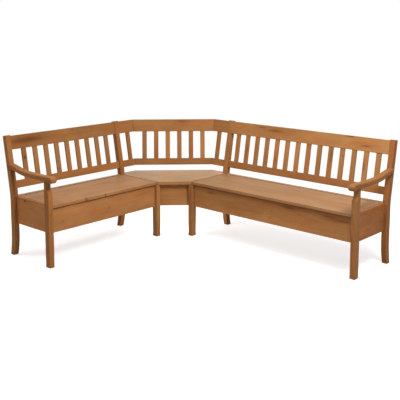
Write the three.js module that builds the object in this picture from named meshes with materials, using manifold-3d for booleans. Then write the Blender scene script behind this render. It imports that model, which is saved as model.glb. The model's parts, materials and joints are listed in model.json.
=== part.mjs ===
// Corner storage bench in pine: a short and a long bench with lidded boxes, joined by a corner unit.
// Millimetres, +Z up. Two wall planes meet at the wall corner. The long bench runs along +X and the
// short one along -Y, each with its back to its wall plane. At the end the whole bench is centred.

import * as THREE from 'three';
import { ConvexGeometry } from 'three/addons/geometries/ConvexGeometry.js';
import { mergeVertices } from 'three/addons/utils/BufferGeometryUtils.js';
import Module from 'manifold-3d';

const wasm = await Module();
wasm.setup();

// Plan of the bench, measured from the wall planes
const longLength = 2240;       // wall corner to the outer face of the long bench's end legs
const shortLength = 1780;      // the same for the short bench
const cornerReach = 652;       // wall corner to the leg frames that carry the corner unit
const bendReach = 493;         // wall corner to the two bends of the corner unit's back
const frontReach = 487;        // wall plane to the front face of the front legs

// Heights
const seatHeight = 465;        // top of the lids and of the corner seat
const boxBottomHeight = 254;   // lower edge of the panels and of the apron
const armHeight = 683;         // flat top of the armrests

// Legs and posts
const legWidth = 42;           // along the bench
const frontLegDepth = 50;
const postDepth = 48;          // back post below the seat
const postTopDepth = 41;       // back post at its top
const postRise = 455;          // length of the post along its rake
const rakeAngle = 9.5;         // degrees
const rakeStart = 7;           // height above the seat where the post leans back
const rakeBlend = 46;          // length of the curve on each side of that bend
const footSweepHeight = 170;   // where the rear foot starts to sweep back
const footSweep = 20;
const footDepth = 42;
const footChamfer = 4;

// Scooped neck of the legs that carry the armrests
const neckSetback = 21;
const neckLength = 48;         // straight neck under the armrest
const scoopLength = 48;        // curve from the full leg to the neck

// Armrest
const armThickness = 39;
const armOverhang = 9;         // beyond the outer face of the legs
const armNose = 58;            // beyond the front face of the legs
const armNoseDrop = 10;        // nose tip below the underside
const armNoseSwell = 8;        // lift of the curve over the nose
const armRise = 37;            // rise from the flat part to the post
const armFlatReach = 275;      // wall plane to where the rise starts
const armHeel = 21;            // wall side of the post left free by the lapped heel
const armTenonLength = 18;
const armTenonWidth = 22;
const armTenonDepth = 16;

// Back: rails and slats, along the rake
const railThickness = 22;
const railBackInset = 17;      // behind the rails to the rear face of the posts
const postProud = 6;           // post above the top rail
const topRailHeight = 107;
const lowerRailHeight = 58;
const lowerRailLift = 45;      // start of the rake to the lower rail
const railTenonLength = 18;
const railTenonThickness = 12;
const railTenonShoulder = 12;
const slatWidth = 40;
const slatThickness = 15;
const slatPitch = 103.3;
const slatTenon = 10;          // slat end inside a rail
const sideSlatFromBend = 57;   // middle of the lone slat beside a bend of the corner unit
const combCount = 2;           // slat combs of the long bench

// Storage box
const panelThickness = 18;
const panelSetback = 24;       // panels behind the outer faces of the legs
const tongueLength = 8;
const tongueThickness = 8;
const tongueShoulder = 14;
const floorThickness = 10;
const floorRaise = 12;         // underside of the box floor above the panels' lower edges

// Seat boards
const seatThickness = 25;
const seatFrontSetback = 9;    // front edge behind the leg fronts
const seatRearSetback = 3;
const cornerSeatBearing = 28;  // how far the corner seat lies on the inner leg frames
const lidEndGap = 4;
const lidFrontGap = 4;         // front panel to the underside of its lid
const hingeRailDepth = 46;
const apronThickness = 18;
const apronBearing = 16;       // apron front ahead of the inner legs' rear faces

// Continuous hinge
const hingeGap = 3;            // hinge rail to lid
const leafThickness = 1;
const leafHeight = 18;
const knuckleRadius = 2.5;
const knuckleLift = 1;         // pin above the seat surface
const knucklePitch = 110;
const knuckleGap = 0.6;
const pinRadius = 1;
const pinClearance = 0.35;
const hingeEndInset = 12;
const roundSides = 10;

// Fits and eased edges
const fitGap = 0.3;
const seatEase = 2;
const legEase = 2;
const railEase = 2;
const slatEase = 1.5;
const panelEase = 1;
const armEase = 4;
const tenonEase = 0.5;
const overrun = 5;             // cutters past the faces that they cut
const curveSteps = 6;

// Values that follow
const rake = THREE.MathUtils.degToRad(rakeAngle);
const rakeFoot = seatHeight + rakeStart;
const mitreSlope = Math.tan(Math.PI / 8);      // bends of 45 degrees, mitred in the middle
const underSeat = seatHeight - seatThickness;
const railFront = railBackInset + railThickness;
const railMiddle = (railBackInset + railFront) / 2;
const topRail = { low: postRise - postProud - topRailHeight, high: postRise - postProud };
const lowerRail = { low: lowerRailLift, high: lowerRailLift + lowerRailHeight };
const seatJoint = cornerReach + cornerSeatBearing;
const innerFace = cornerReach + legWidth;
const hingeRailFront = seatRearSetback + hingeRailDepth;
const lidRear = hingeRailFront + hingeGap;
const hingeReach = (hingeRailFront + lidRear) / 2;
const hingeHeight = seatHeight + knuckleLift;
const seatFront = frontReach - seatFrontSetback;
const panelFront = frontReach - panelSetback;
const frontLegRear = frontReach - frontLegDepth;
const armUnder = armHeight - armThickness;
const armWidth = legWidth + armOverhang;
const rakeMatrix = new THREE.Matrix4().makeTranslation(0, 0, rakeFoot)
  .multiply(new THREE.Matrix4().makeRotationX(-rake));

// Finishes
const finish = (color, roughness, metalness) =>
  new THREE.MeshStandardMaterial({ color, roughness, metalness });
const framePine = finish(0xa06a42, 0.5, 0);
const slatPine = finish(0xa66e46, 0.5, 0);
const panelPine = finish(0xa4663f, 0.5, 0);
const lidPine = finish(0xb28863, 0.45, 0);
const cornerPine = finish(0xb99872, 0.45, 0);
const hingeBrass = finish(0xb9a26a, 0.35, 1);

// Joining and cutting

function solid(geometry) {
  const bare = geometry.clone();
  bare.deleteAttribute('normal');
  bare.deleteAttribute('uv');
  const merged = mergeVertices(bare);
  return new wasm.Manifold(new wasm.Mesh({
    numProp: 3,
    vertProperties: Float32Array.from(merged.attributes.position.array),
    triVerts: Uint32Array.from(merged.index.array),
  }));
}

function geometryOf(body) {
  const mesh = body.getMesh();
  const geometry = new THREE.BufferGeometry();
  geometry.setAttribute('position', new THREE.BufferAttribute(Float32Array.from(mesh.vertProperties), 3));
  geometry.setIndex(new THREE.BufferAttribute(Uint32Array.from(mesh.triVerts), 1));
  return geometry;
}

const joined = (first, ...others) =>
  geometryOf(others.reduce((sum, other) => sum.add(solid(other)), solid(first)));

const cut = (first, ...cutters) =>
  geometryOf(cutters.reduce((rest, cutter) => rest.subtract(solid(cutter)), solid(first)));

// Basic forms

// Board with chamfered edges: the hull of three points beside each of a box's eight corners.
// The two ends along x can be slanted by functions of y and z.
function board([x0, x1], [y0, y1], [z0, z1], ease, slantLow = () => 0, slantHigh = () => 0) {
  const points = [];
  for (const [x, inX, slant] of [[x0, ease, slantLow], [x1, -ease, slantHigh]]) {
    for (const [y, inY] of [[y0, ease], [y1, -ease]]) {
      for (const [z, inZ] of [[z0, ease], [z1, -ease]]) {
        points.push(new THREE.Vector3(x + slant(y + inY, z + inZ), y + inY, z + inZ));
        points.push(new THREE.Vector3(x + inX + slant(y, z + inZ), y, z + inZ));
        points.push(new THREE.Vector3(x + inX + slant(y + inY, z), y + inY, z));
      }
    }
  }
  return new ConvexGeometry(points);
}

// In a bench, u runs outwards from the wall corner and v from the wall plane to the room. The long
// bench has side 1 and the short one side -1, so that one is the other's mirror image along x.
const benchSpan = (side, u0, u1) => [side * u0, side * u1].sort((a, b) => a - b);

const benchBoard = (side, [u0, u1], [v0, v1], heights, ease) =>
  board(benchSpan(side, u0, u1), [-v1, -v0], heights, ease);

// Outline carried up from its plane, with the two rims eased inwards
function easedExtrusion(outline, height, ease) {
  return new THREE.ExtrudeGeometry(outline, {
    depth: height - ease - ease,
    bevelThickness: ease,
    bevelSize: ease,
    bevelOffset: -ease,
    bevelSegments: 1,
    curveSegments: curveSteps,
  }).translate(0, 0, ease);
}

// Side view outline (y, z) carried along x
function sideProfile(outline, [x0, x1], ease) {
  const turn = new THREE.Matrix4().makeBasis(
    new THREE.Vector3(0, 1, 0), new THREE.Vector3(0, 0, 1), new THREE.Vector3(1, 0, 0));
  return easedExtrusion(outline, x1 - x0, ease).applyMatrix4(turn).translate(x0, 0, 0);
}

// Plan outline (x, y) carried up
const planProfile = (outline, [z0, z1], ease) => easedExtrusion(outline, z1 - z0, ease).translate(0, 0, z0);

// Point of the raked back in side view, from its distance y and its length z along the rake
function raked(y, z) {
  return [
    y * Math.cos(rake) + z * Math.sin(rake),
    rakeFoot + z * Math.cos(rake) - y * Math.sin(rake),
  ];
}

// Rear face of the posts at a height above the start of the rake
const rearFaceAt = (height) => (height - rakeFoot) * Math.tan(rake);

function addPiece(parent, name, geometry, material) {
  const mesh = new THREE.Mesh(geometry, material);
  mesh.name = name;
  parent.add(mesh);
  return mesh;
}

// Tenons and tongues, each used once at size and once grown by the fit as the cutter of its socket.
// Only the tenon itself has eased edges.
const easeOf = (ease, grow) => (grow > 0 ? 0 : ease);

// Tenon of a back rail, in the frame of the rake
function railTenon(side, [u0, u1], rail, grow) {
  const half = railTenonThickness / 2 + grow;
  return benchBoard(side, [u0 - grow, u1 + grow], [railMiddle - half, railMiddle + half],
    [rail.low + railTenonShoulder - grow, rail.high - railTenonShoulder + grow],
    easeOf(tenonEase, grow));
}

// Tongue of a box panel that runs along the bench
function lengthTongue(side, [u0, u1], middle, top, grow) {
  const half = tongueThickness / 2 + grow;
  return benchBoard(side, [u0 - grow, u1 + grow], [middle - half, middle + half],
    [boxBottomHeight + tongueShoulder - grow, top - tongueShoulder + grow], easeOf(tenonEase, grow));
}

// Tongue of a box panel that runs from front to back
function depthTongue(side, middle, [v0, v1], top, grow) {
  const half = tongueThickness / 2 + grow;
  return benchBoard(side, [middle - half, middle + half], [v0 - grow, v1 + grow],
    [boxBottomHeight + tongueShoulder - grow, top - tongueShoulder + grow], easeOf(tenonEase, grow));
}

// Tenon on top of an arm leg
function armTenon(side, outer, grow) {
  const middle = outer - legWidth / 2;
  const neckMiddle = (frontLegRear + frontReach - neckSetback) / 2;
  const halfWidth = armTenonWidth / 2 + grow;
  const halfDepth = armTenonDepth / 2 + grow;
  return benchBoard(side, [middle - halfWidth, middle + halfWidth],
    [neckMiddle - halfDepth, neckMiddle + halfDepth],
    [armUnder - fitGap - legEase - overrun, armUnder + armTenonLength + grow], easeOf(tenonEase, grow));
}

// Legs and posts

function frontLegOutline(top) {
  const outline = new THREE.Shape();
  outline.moveTo(-frontLegRear - footChamfer, 0);
  outline.lineTo(-frontLegRear, footChamfer);
  outline.lineTo(-frontLegRear, top);
  outline.lineTo(-frontReach, top);
  outline.lineTo(-frontReach, footChamfer);
  outline.lineTo(-frontReach + footChamfer, 0);
  return outline;
}

function armLegOutline() {
  const top = armUnder - fitGap;
  const neckFront = -frontReach + neckSetback;
  const outline = new THREE.Shape();
  outline.moveTo(-frontLegRear - footChamfer, 0);
  outline.lineTo(-frontLegRear, footChamfer);
  outline.lineTo(-frontLegRear, top);
  outline.lineTo(neckFront, top);
  outline.lineTo(neckFront, top - neckLength);
  outline.bezierCurveTo(neckFront, top - neckLength - scoopLength / 2,
    -frontReach, top - neckLength - scoopLength / 2, -frontReach, top - neckLength - scoopLength);
  outline.lineTo(-frontReach, footChamfer);
  outline.lineTo(-frontReach + footChamfer, 0);
  return outline;
}

function postOutline() {
  const outline = new THREE.Shape();
  outline.moveTo(footSweep - footChamfer, 0);
  outline.lineTo(footSweep, footChamfer);
  outline.quadraticCurveTo(0, footSweepHeight / 2, 0, footSweepHeight);
  outline.lineTo(0, rakeFoot - rakeBlend);
  outline.quadraticCurveTo(0, rakeFoot, ...raked(0, rakeBlend));
  outline.lineTo(...raked(0, postRise));
  outline.lineTo(...raked(-postTopDepth, postRise));
  outline.lineTo(...raked(-postDepth, rakeBlend));
  outline.quadraticCurveTo(-postDepth, rakeFoot, -postDepth, rakeFoot - rakeBlend);
  outline.lineTo(-postDepth, footSweepHeight);
  outline.quadraticCurveTo(-postDepth, footSweepHeight / 2, footSweep - footDepth, footChamfer);
  outline.lineTo(footSweep - footDepth + footChamfer, 0);
  return outline;
}

// Cutters for the sockets of the back rails in a post face at u, on the side that dir points to
function railSockets(side, u, dir) {
  const ends = [u, u - dir * railTenonLength].sort((a, b) => a - b);
  const open = [ends[0] - (dir < 0 ? overrun : 0), ends[1] + (dir > 0 ? overrun : 0)];
  return [topRail, lowerRail].map((rail) => railTenon(side, open, rail, fitGap).applyMatrix4(rakeMatrix));
}

function postSolid(side, outer, sockets) {
  const body = sideProfile(postOutline(), benchSpan(side, outer - legWidth, outer), legEase);
  return cut(body, ...sockets);
}

// Armrest: S-shaped side view, notched round the post so that its heel laps the post's outer face

function armOutline() {
  const heelTop = armHeight + armRise;
  const heelUnder = armUnder + armRise;
  const noseReach = frontReach + armNose;
  const riseReachShare = 0.45;
  const noseRoundShare = 0.55;
  const bend = armFlatReach * riseReachShare;
  const noseTipHeight = armHeight - armThickness * noseRoundShare;
  const outline = new THREE.Shape();
  outline.moveTo(rearFaceAt(heelUnder) - armHeel, heelUnder);
  outline.lineTo(rearFaceAt(heelTop) - armHeel, heelTop);
  outline.bezierCurveTo(-bend, heelTop - armRise / 2, -bend, armHeight, -armFlatReach, armHeight);
  outline.lineTo(-frontReach + neckSetback, armHeight);
  outline.bezierCurveTo(-frontReach - armNose / 2, armHeight + armNoseSwell, -noseReach, armHeight,
    -noseReach, noseTipHeight);
  outline.bezierCurveTo(-noseReach, armUnder - armNoseDrop, -noseReach + armNose / 2,
    armUnder - armNoseDrop, -frontReach, armUnder);
  outline.lineTo(-armFlatReach, armUnder);
  outline.bezierCurveTo(-bend, armUnder, -bend, heelUnder - armRise / 2,
    rearFaceAt(heelUnder) - armHeel, heelUnder);
  return outline;
}

function armSolid(side, outer) {
  const body = sideProfile(armOutline(), benchSpan(side, outer - legWidth, outer + armOverhang), armEase);
  const postSpan = benchSpan(side, outer - legWidth - overrun, outer + fitGap);
  const post = sideProfile(postOutline(), postSpan, legEase).translate(0, -fitGap, 0);
  return cut(body, post, armTenon(side, outer, fitGap));
}

// Back of a bench

// Middles of the slats, centred between two ends
function slatMiddles(u0, u1) {
  const count = Math.floor((u1 - u0 - slatWidth) / slatPitch);
  const middle = (u0 + u1) / 2;
  return Array.from({ length: count }, (_, index) => middle + (index - (count - 1) / 2) * slatPitch);
}

// Slat, or with grow the cutter of its two sockets, in the frame of the rake
function slat(x, grow) {
  return board([x - slatWidth / 2 - grow, x + slatWidth / 2 + grow],
    [-railMiddle - slatThickness / 2 - grow, -railMiddle + slatThickness / 2 + grow],
    [lowerRail.high - slatTenon - grow, topRail.low + slatTenon + grow], easeOf(slatEase, grow));
}

// Strip that fills the groove of a lower rail between the slats and joins them to one comb
function combStrip([x0, x1], grow) {
  return board([x0 - grow, x1 + grow],
    [-railMiddle - slatThickness / 2 - grow, -railMiddle + slatThickness / 2 + grow],
    [lowerRail.high - slatTenon - grow, lowerRail.high - (grow > 0 ? -overrun : fitGap)],
    easeOf(tenonEase, grow));
}

function benchRail(side, [u0, u1], rail) {
  const body = benchBoard(side, [u0 + fitGap, u1 - fitGap], [railBackInset, railFront],
    [rail.low, rail.high], railEase);
  return joined(body,
    railTenon(side, [u0 - railTenonLength, u0 + overrun], rail, 0),
    railTenon(side, [u1 - overrun, u1 + railTenonLength], rail, 0));
}

function addBenchBack(raking, label, side, length) {
  const ends = [innerFace, length - legWidth];
  const middles = slatMiddles(...ends).map((u) => side * u);
  const cutters = middles.map((x) => slat(x, fitGap));
  addPiece(raking, `${label}_top_rail`, cut(benchRail(side, ends, topRail), ...cutters), framePine);
  const lower = benchRail(side, ends, lowerRail);
  if (side > 0) {
    addCombs(raking, label, middles, lower);
    return;
  }
  addPiece(raking, `${label}_lower_rail`, cut(lower, ...cutters), framePine);
  middles.forEach((x, index) => addPiece(raking, `${label}_slat_${index + 1}`, slat(x, 0), slatPine));
}

// Slats of the long bench: combs, each of neighbouring slats on a strip in the lower rail's groove
function addCombs(raking, label, middles, lower) {
  const size = Math.ceil(middles.length / combCount);
  const margin = slatWidth / 2 + slatTenon;
  const grooves = [];
  for (let comb = 0; comb < combCount; comb += 1) {
    const own = middles.slice(comb * size, (comb + 1) * size);
    const reach = [own[0] - margin, own[own.length - 1] + margin];
    grooves.push(combStrip(reach, fitGap));
    const slats = own.map((x) => slat(x, 0));
    addPiece(raking, `${label}_slat_comb_${comb + 1}`, joined(combStrip(reach, 0), ...slats), slatPine);
  }
  addPiece(raking, `${label}_lower_rail`, cut(lower, ...grooves), framePine);
}

// Storage box of a bench

function addBox(group, label, side, length) {
  const ends = [innerFace, length - legWidth];
  const panelTop = underSeat - fitGap;
  const frontMiddle = panelFront - panelThickness / 2;
  const backPanelRear = panelSetback / 2;
  const backMiddle = backPanelRear + panelThickness / 2;
  const depths = [postDepth, frontLegRear];
  const lengthPanel = (middle, top) => joined(
    benchBoard(side, [ends[0] + fitGap, ends[1] - fitGap],
      [middle - panelThickness / 2, middle + panelThickness / 2], [boxBottomHeight, top], panelEase),
    lengthTongue(side, [ends[0] - tongueLength, ends[0] + overrun], middle, panelTop, 0),
    lengthTongue(side, [ends[1] - overrun, ends[1] + tongueLength], middle, panelTop, 0));
  const depthPanel = (u0, top) => joined(
    benchBoard(side, [u0, u0 + panelThickness], [depths[0] + fitGap, depths[1] - fitGap],
      [boxBottomHeight, top], panelEase),
    depthTongue(side, u0 + panelThickness / 2, [depths[0] - tongueLength, depths[0] + overrun], panelTop, 0),
    depthTongue(side, u0 + panelThickness / 2, [depths[1] - overrun, depths[1] + tongueLength], panelTop, 0));
  addPiece(group, `${label}_front_panel`, lengthPanel(frontMiddle, underSeat - lidFrontGap), panelPine);
  addPiece(group, `${label}_back_panel`, lengthPanel(backMiddle, panelTop), panelPine);
  addPiece(group, `${label}_end_panel`, depthPanel(ends[1], seatHeight), panelPine);
  addPiece(group, `${label}_inner_panel`, depthPanel(ends[0] - panelThickness, panelTop), panelPine);
  addPiece(group, `${label}_floor_panel`, benchBoard(side, [ends[0] + fitGap, ends[1] - fitGap],
    [backPanelRear + panelThickness + fitGap, panelFront - panelThickness - fitGap],
    [boxBottomHeight + floorRaise, boxBottomHeight + floorRaise + floorThickness], panelEase), panelPine);
}

// Sockets of the box panels in the four legs of a bench
function boxSockets(side, length) {
  const ends = [innerFace, length - legWidth];
  const panelTop = underSeat - fitGap;
  const frontMiddle = panelFront - panelThickness / 2;
  const backMiddle = panelSetback / 2 + panelThickness / 2;
  const into = (u, dir, middle) => lengthTongue(side,
    dir > 0 ? [u - overrun, u + tongueLength] : [u - tongueLength, u + overrun], middle, panelTop, fitGap);
  const across = (u, v, dir) => depthTongue(side, u,
    dir > 0 ? [v - overrun, v + tongueLength] : [v - tongueLength, v + overrun], panelTop, fitGap);
  const endMiddle = ends[1] + panelThickness / 2;
  const innerMiddle = ends[0] - panelThickness / 2;
  return {
    armLeg: [into(ends[1], 1, frontMiddle), across(endMiddle, frontLegRear, 1)],
    endPost: [into(ends[1], 1, backMiddle), across(endMiddle, postDepth, -1)],
    innerLeg: [into(ends[0], -1, frontMiddle), across(innerMiddle, frontLegRear, 1)],
    innerPost: [into(ends[0], -1, backMiddle), across(innerMiddle, postDepth, -1)],
  };
}

// Leg frames of a bench
function addFrames(group, label, side, length) {
  const sockets = boxSockets(side, length);
  const legTop = underSeat - fitGap;
  addPiece(group, `${label}_arm_leg`, cut(joined(
    sideProfile(armLegOutline(), benchSpan(side, length - legWidth, length), legEase),
    armTenon(side, length, 0)), ...sockets.armLeg), framePine);
  addPiece(group, `${label}_end_post`, postSolid(side, length,
    [...sockets.endPost, ...railSockets(side, length - legWidth, -1)]), framePine);
  addPiece(group, `${label}_armrest`, armSolid(side, length), framePine);
  addPiece(group, `${label}_inner_leg`, cut(
    sideProfile(frontLegOutline(legTop), benchSpan(side, cornerReach, innerFace), legEase),
    ...sockets.innerLeg), framePine);
  addPiece(group, `${label}_inner_post`, postSolid(side, innerFace,
    [...sockets.innerPost, ...railSockets(side, innerFace, 1), ...railSockets(side, cornerReach, -1)]),
    framePine);
}

// Lid with its hinge rail and continuous hinge

function rodAlong([x0, x1], radius) {
  return new THREE.CylinderGeometry(radius, radius, x1 - x0, roundSides)
    .rotateZ(Math.PI / 2)
    .translate((x0 + x1) / 2, -hingeReach, hingeHeight);
}

// Leaf of the hinge: a plate on the wood at v, with a tab and a knuckle at every second place.
// There is one more place for the fixed leaf, which has the even ones (odd is 0), than for the lid's.
function hingeLeaf([x0, x1], plateRear, odd) {
  const plateTop = hingeHeight - knuckleRadius - knuckleGap;
  const depths = [-plateRear - leafThickness, -plateRear];
  const plate = board([x0, x1], depths, [plateTop - leafHeight, plateTop], 0);
  const pairs = Math.floor((x1 - x0) / knucklePitch / 2);
  const step = (x1 - x0) / (pairs + pairs + 1);
  const half = (step - knuckleGap) / 2;
  const parts = [];
  for (let middle = x0 + step / 2 + odd * step; middle < x1; middle += step + step) {
    const span = [middle - half, middle + half];
    parts.push(rodAlong(span, knuckleRadius));
    parts.push(board(span, depths, [plateTop - knuckleGap, hingeHeight], 0));
  }
  return joined(plate, ...parts);
}

function addLid(group, label, side, length) {
  const lidSpan = [seatJoint + fitGap, length - legWidth - lidEndGap];
  const heights = [underSeat, seatHeight];
  const [x0, x1] = benchSpan(side, lidSpan[0] + hingeEndInset + legWidth, lidSpan[1] - hingeEndInset);
  const pin = rodAlong([x0 + knuckleGap, x1 - knuckleGap], pinRadius);
  const bore = rodAlong([x0 - overrun, x1 + overrun], pinRadius + pinClearance);
  addPiece(group, `${label}_hinge_rail`, benchBoard(side, [innerFace + fitGap, length - legWidth - fitGap],
    [seatRearSetback, hingeRailFront], heights, seatEase), lidPine);
  const lid = benchBoard(side, lidSpan, [lidRear, seatFront], heights, seatEase);
  addPiece(group, `${label}_lid`, lid, lidPine);
  addPiece(group, `${label}_hinge_fixed_leaf`,
    joined(hingeLeaf([x0, x1], hingeRailFront + fitGap, 0), pin), hingeBrass);
  addPiece(group, `${label}_hinge_lid_leaf`,
    cut(hingeLeaf([x0, x1], lidRear - fitGap - leafThickness, 1), bore), hingeBrass);
}

// Corner unit

function cornerSeatOutline() {
  const bend = bendReach + seatRearSetback * mitreSlope;
  const notch = cornerReach - fitGap;
  const notchDepth = postDepth + fitGap;
  const joint = seatJoint - fitGap;
  const half = [
    [joint, -seatFront], [joint, -notchDepth], [notch, -notchDepth],
    [notch, -seatRearSetback], [bend, -seatRearSetback],
  ];
  const otherHalf = half.map(([x, y]) => [-y, -x]).reverse();
  return new THREE.Shape([...half, ...otherHalf].map(([x, y]) => new THREE.Vector2(x, y)));
}

// Apron: diagonal board whose ends are cut to lie on the inner legs' side faces
function apronOutline() {
  const face = cornerReach - fitGap;
  const front = cornerReach + frontLegRear + apronBearing;
  const rear = front - apronThickness * Math.SQRT2;
  return new THREE.Shape([
    new THREE.Vector2(face, face - front), new THREE.Vector2(face, face - rear),
    new THREE.Vector2(rear - face, -face), new THREE.Vector2(front - face, -face),
  ]);
}

// Distance behind the wall plane of a point in the frame of the rake
const behindWall = (y, z) => y * Math.cos(rake) + z * Math.sin(rake);

// Rail from an inner post to the bend, with a tenon in the post and a mitred end
function sideRail(side, rail, cutters) {
  const mitre = (y, z) => -side * mitreSlope * behindWall(y, z);
  const still = () => 0;
  const [x0, x1] = benchSpan(side, bendReach + fitGap, cornerReach - fitGap);
  const body = board([x0, x1], [-railFront, -railBackInset], [rail.low, rail.high], railEase,
    side > 0 ? mitre : still, side > 0 ? still : mitre);
  const tenon = railTenon(side, [cornerReach - overrun, cornerReach + railTenonLength], rail, 0);
  return cut(joined(body, tenon), ...cutters);
}

// Middle rail of the corner unit, mitred at both ends
function middleRail(rail, cutters) {
  const reach = bendReach / Math.SQRT2 - fitGap;
  const body = board([-reach, reach], [-railFront, -railBackInset], [rail.low, rail.high], railEase,
    (y, z) => -mitreSlope * behindWall(y, z), (y, z) => mitreSlope * behindWall(y, z));
  return cut(body, ...cutters);
}

function addSideBack(raking, label, side) {
  const x = side * (bendReach + sideSlatFromBend);
  const cutters = [slat(x, fitGap)];
  addPiece(raking, `corner_top_rail_${label}`, sideRail(side, topRail, cutters), framePine);
  addPiece(raking, `corner_lower_rail_${label}`, sideRail(side, lowerRail, cutters), framePine);
  addPiece(raking, `corner_slat_${label}`, slat(x, 0), slatPine);
}

function addMiddleBack(raking) {
  const reach = bendReach / Math.SQRT2;
  const middles = slatMiddles(-reach, reach);
  const cutters = middles.map((x) => slat(x, fitGap));
  addPiece(raking, 'corner_top_rail_middle', middleRail(topRail, cutters), framePine);
  addPiece(raking, 'corner_lower_rail_middle', middleRail(lowerRail, cutters), framePine);
  middles.forEach((x, index) => addPiece(raking, `corner_slat_middle_${index + 1}`, slat(x, 0), slatPine));
}

// Assembly

function rakingGroup(parent) {
  const raking = new THREE.Group();
  raking.position.set(0, 0, rakeFoot);
  raking.rotation.set(-rake, 0, 0);
  parent.add(raking);
  return raking;
}

function addBench(parent, label, side, length) {
  const group = new THREE.Group();
  group.rotation.set(0, 0, side > 0 ? 0 : Math.PI / 2);
  parent.add(group);
  addFrames(group, label, side, length);
  addBox(group, label, side, length);
  addLid(group, label, side, length);
  const raking = rakingGroup(group);
  addBenchBack(raking, label, side, length);
  addSideBack(raking, label, side);
}

function addCorner(parent) {
  const seat = planProfile(cornerSeatOutline(), [underSeat, seatHeight], seatEase);
  addPiece(parent, 'corner_seat', seat, cornerPine);
  addPiece(parent, 'corner_apron',
    planProfile(apronOutline(), [boxBottomHeight, underSeat - fitGap], panelEase), panelPine);
  const group = new THREE.Group();
  group.position.set(bendReach / 2, -bendReach / 2, 0);
  group.rotation.set(0, 0, Math.PI / 4);
  parent.add(group);
  addMiddleBack(rakingGroup(group));
}

const bench = new THREE.Group();
addBench(bench, 'long', 1, longLength);
addBench(bench, 'short', -1, shortLength);
addCorner(bench);

// The origin stands on the floor below the middle of the whole bench
const leanReach = raked(0, postRise)[0];
bench.position.set(
  (leanReach - longLength - armOverhang) / 2,
  (shortLength + armOverhang - leanReach) / 2,
  0,
);

export default bench;
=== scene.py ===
"""Corner storage bench in stained pine: the finished boards, the brass hinges and the studio.

Every wooden piece is a loft: rounded sections carried along a board, worked out as whole arrays. Each
keeps the place of its points in the board that it was sawn from, and the pine grows its rings there.
"""

import json
import math

import bpy
import numpy as np
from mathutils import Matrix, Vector


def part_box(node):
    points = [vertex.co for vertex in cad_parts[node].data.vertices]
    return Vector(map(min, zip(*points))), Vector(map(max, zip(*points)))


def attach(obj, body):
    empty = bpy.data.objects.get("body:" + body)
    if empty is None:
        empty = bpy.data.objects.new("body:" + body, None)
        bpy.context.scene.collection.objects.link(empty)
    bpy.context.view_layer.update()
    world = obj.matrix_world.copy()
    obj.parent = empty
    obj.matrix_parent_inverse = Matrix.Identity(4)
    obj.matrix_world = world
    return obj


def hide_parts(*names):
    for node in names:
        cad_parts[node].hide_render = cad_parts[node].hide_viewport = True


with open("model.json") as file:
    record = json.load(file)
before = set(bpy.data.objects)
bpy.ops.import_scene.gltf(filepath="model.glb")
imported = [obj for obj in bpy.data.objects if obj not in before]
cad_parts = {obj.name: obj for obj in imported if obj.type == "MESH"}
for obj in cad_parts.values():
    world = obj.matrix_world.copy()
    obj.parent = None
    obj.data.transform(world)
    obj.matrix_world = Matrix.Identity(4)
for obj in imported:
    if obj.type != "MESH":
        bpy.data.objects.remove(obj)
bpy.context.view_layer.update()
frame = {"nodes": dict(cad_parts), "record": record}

bl_info = {
    "name": "Corner storage bench",
    "version": (1, 0, 0),
    "blender": (4, 5, 0),
    "location": "View3D > Sidebar > Bench",
    "description": "Finishes a corner storage bench in stained pine with brass hinges, in a studio",
    "category": "Object",
}

MM = 0.001
QUARTER = math.pi / 2
DIAGONAL = math.sqrt(0.5)
SENSOR = 36.0
WHITE = (1.0, 1.0, 1.0, 1.0)

# Roundings and the steps of curves
ARC_STEPS = 4              # steps of each rounded edge
RING_FLOOR_SHARE = 0.15    # least edge radius at a board's end, of its radius
EASE_SHARE = 0.8           # rounding of a board's ends, of the radius of its edges
LEG_ROUND = 2.5 * MM
BOARD_ROUND = 2.5 * MM
LID_ROUND = 3.5 * MM
SLAT_ROUND = 2.0 * MM
SLAT_EASE_SHARE = 0.3      # the same for the slats, which end at the rails
PANEL_ROUND = 1.2 * MM
APRON_ROUND = 1.8 * MM
LEAF_ROUND = 0.2 * MM
FOOT_SHARE = 0.9           # rounding under the feet, of their chamfer
ROUND_LIMIT = 0.49         # greatest edge radius, of a board's width or thickness
SCOOP_STEPS, SWEEP_STEPS, BEND_STEPS = 14, 12, 10    # steps of the curves of legs and posts
RISE_STEPS, NOSE_STEPS = 40, 200                      # and of the armrests, before they are cut
LAP_RINGS, RISE_RINGS, NOSE_RINGS = 5, 26, 15         # sections of an armrest's heel, rise and nose
RISE_REACH_SHARE = 0.45    # armrest: where its rise bends, of its flat reach
NOSE_TIP_SHARE = 0.55      # armrest: nose tip below the top, of its thickness
NOSE_END_SHARE = 0.97      # armrest: last section of the nose, of its two curves

# Hinges
SCREW_RADIUS = 3.0 * MM
SCREW_PROUD = 0.12 * MM    # top of a screw's head above the leaf
SCREW_STEPS = 12
SCREW_TOP_SHARE = 0.88     # top of a screw's head, of its radius
SLOT_SHARE = 0.16          # half the slot of a screw, of its radius
CURL_END = 0.8             # radians that a knuckle's curl goes past the level
CURL_STEPS = 20
ROUND_SIDES = 24
SHARP_ANGLE = math.radians(35)

# Studio
FLOOR_HALF = 9.0
FLOOR_LINES = 9            # lines of the floor's grid, each way
FLOOR_GLOW = 0.7           # light that the floor adds where the camera sees it
FLOOR_FADE = (2.0, 3.2)    # distance from the middle at which the floor turns into plain white

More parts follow.
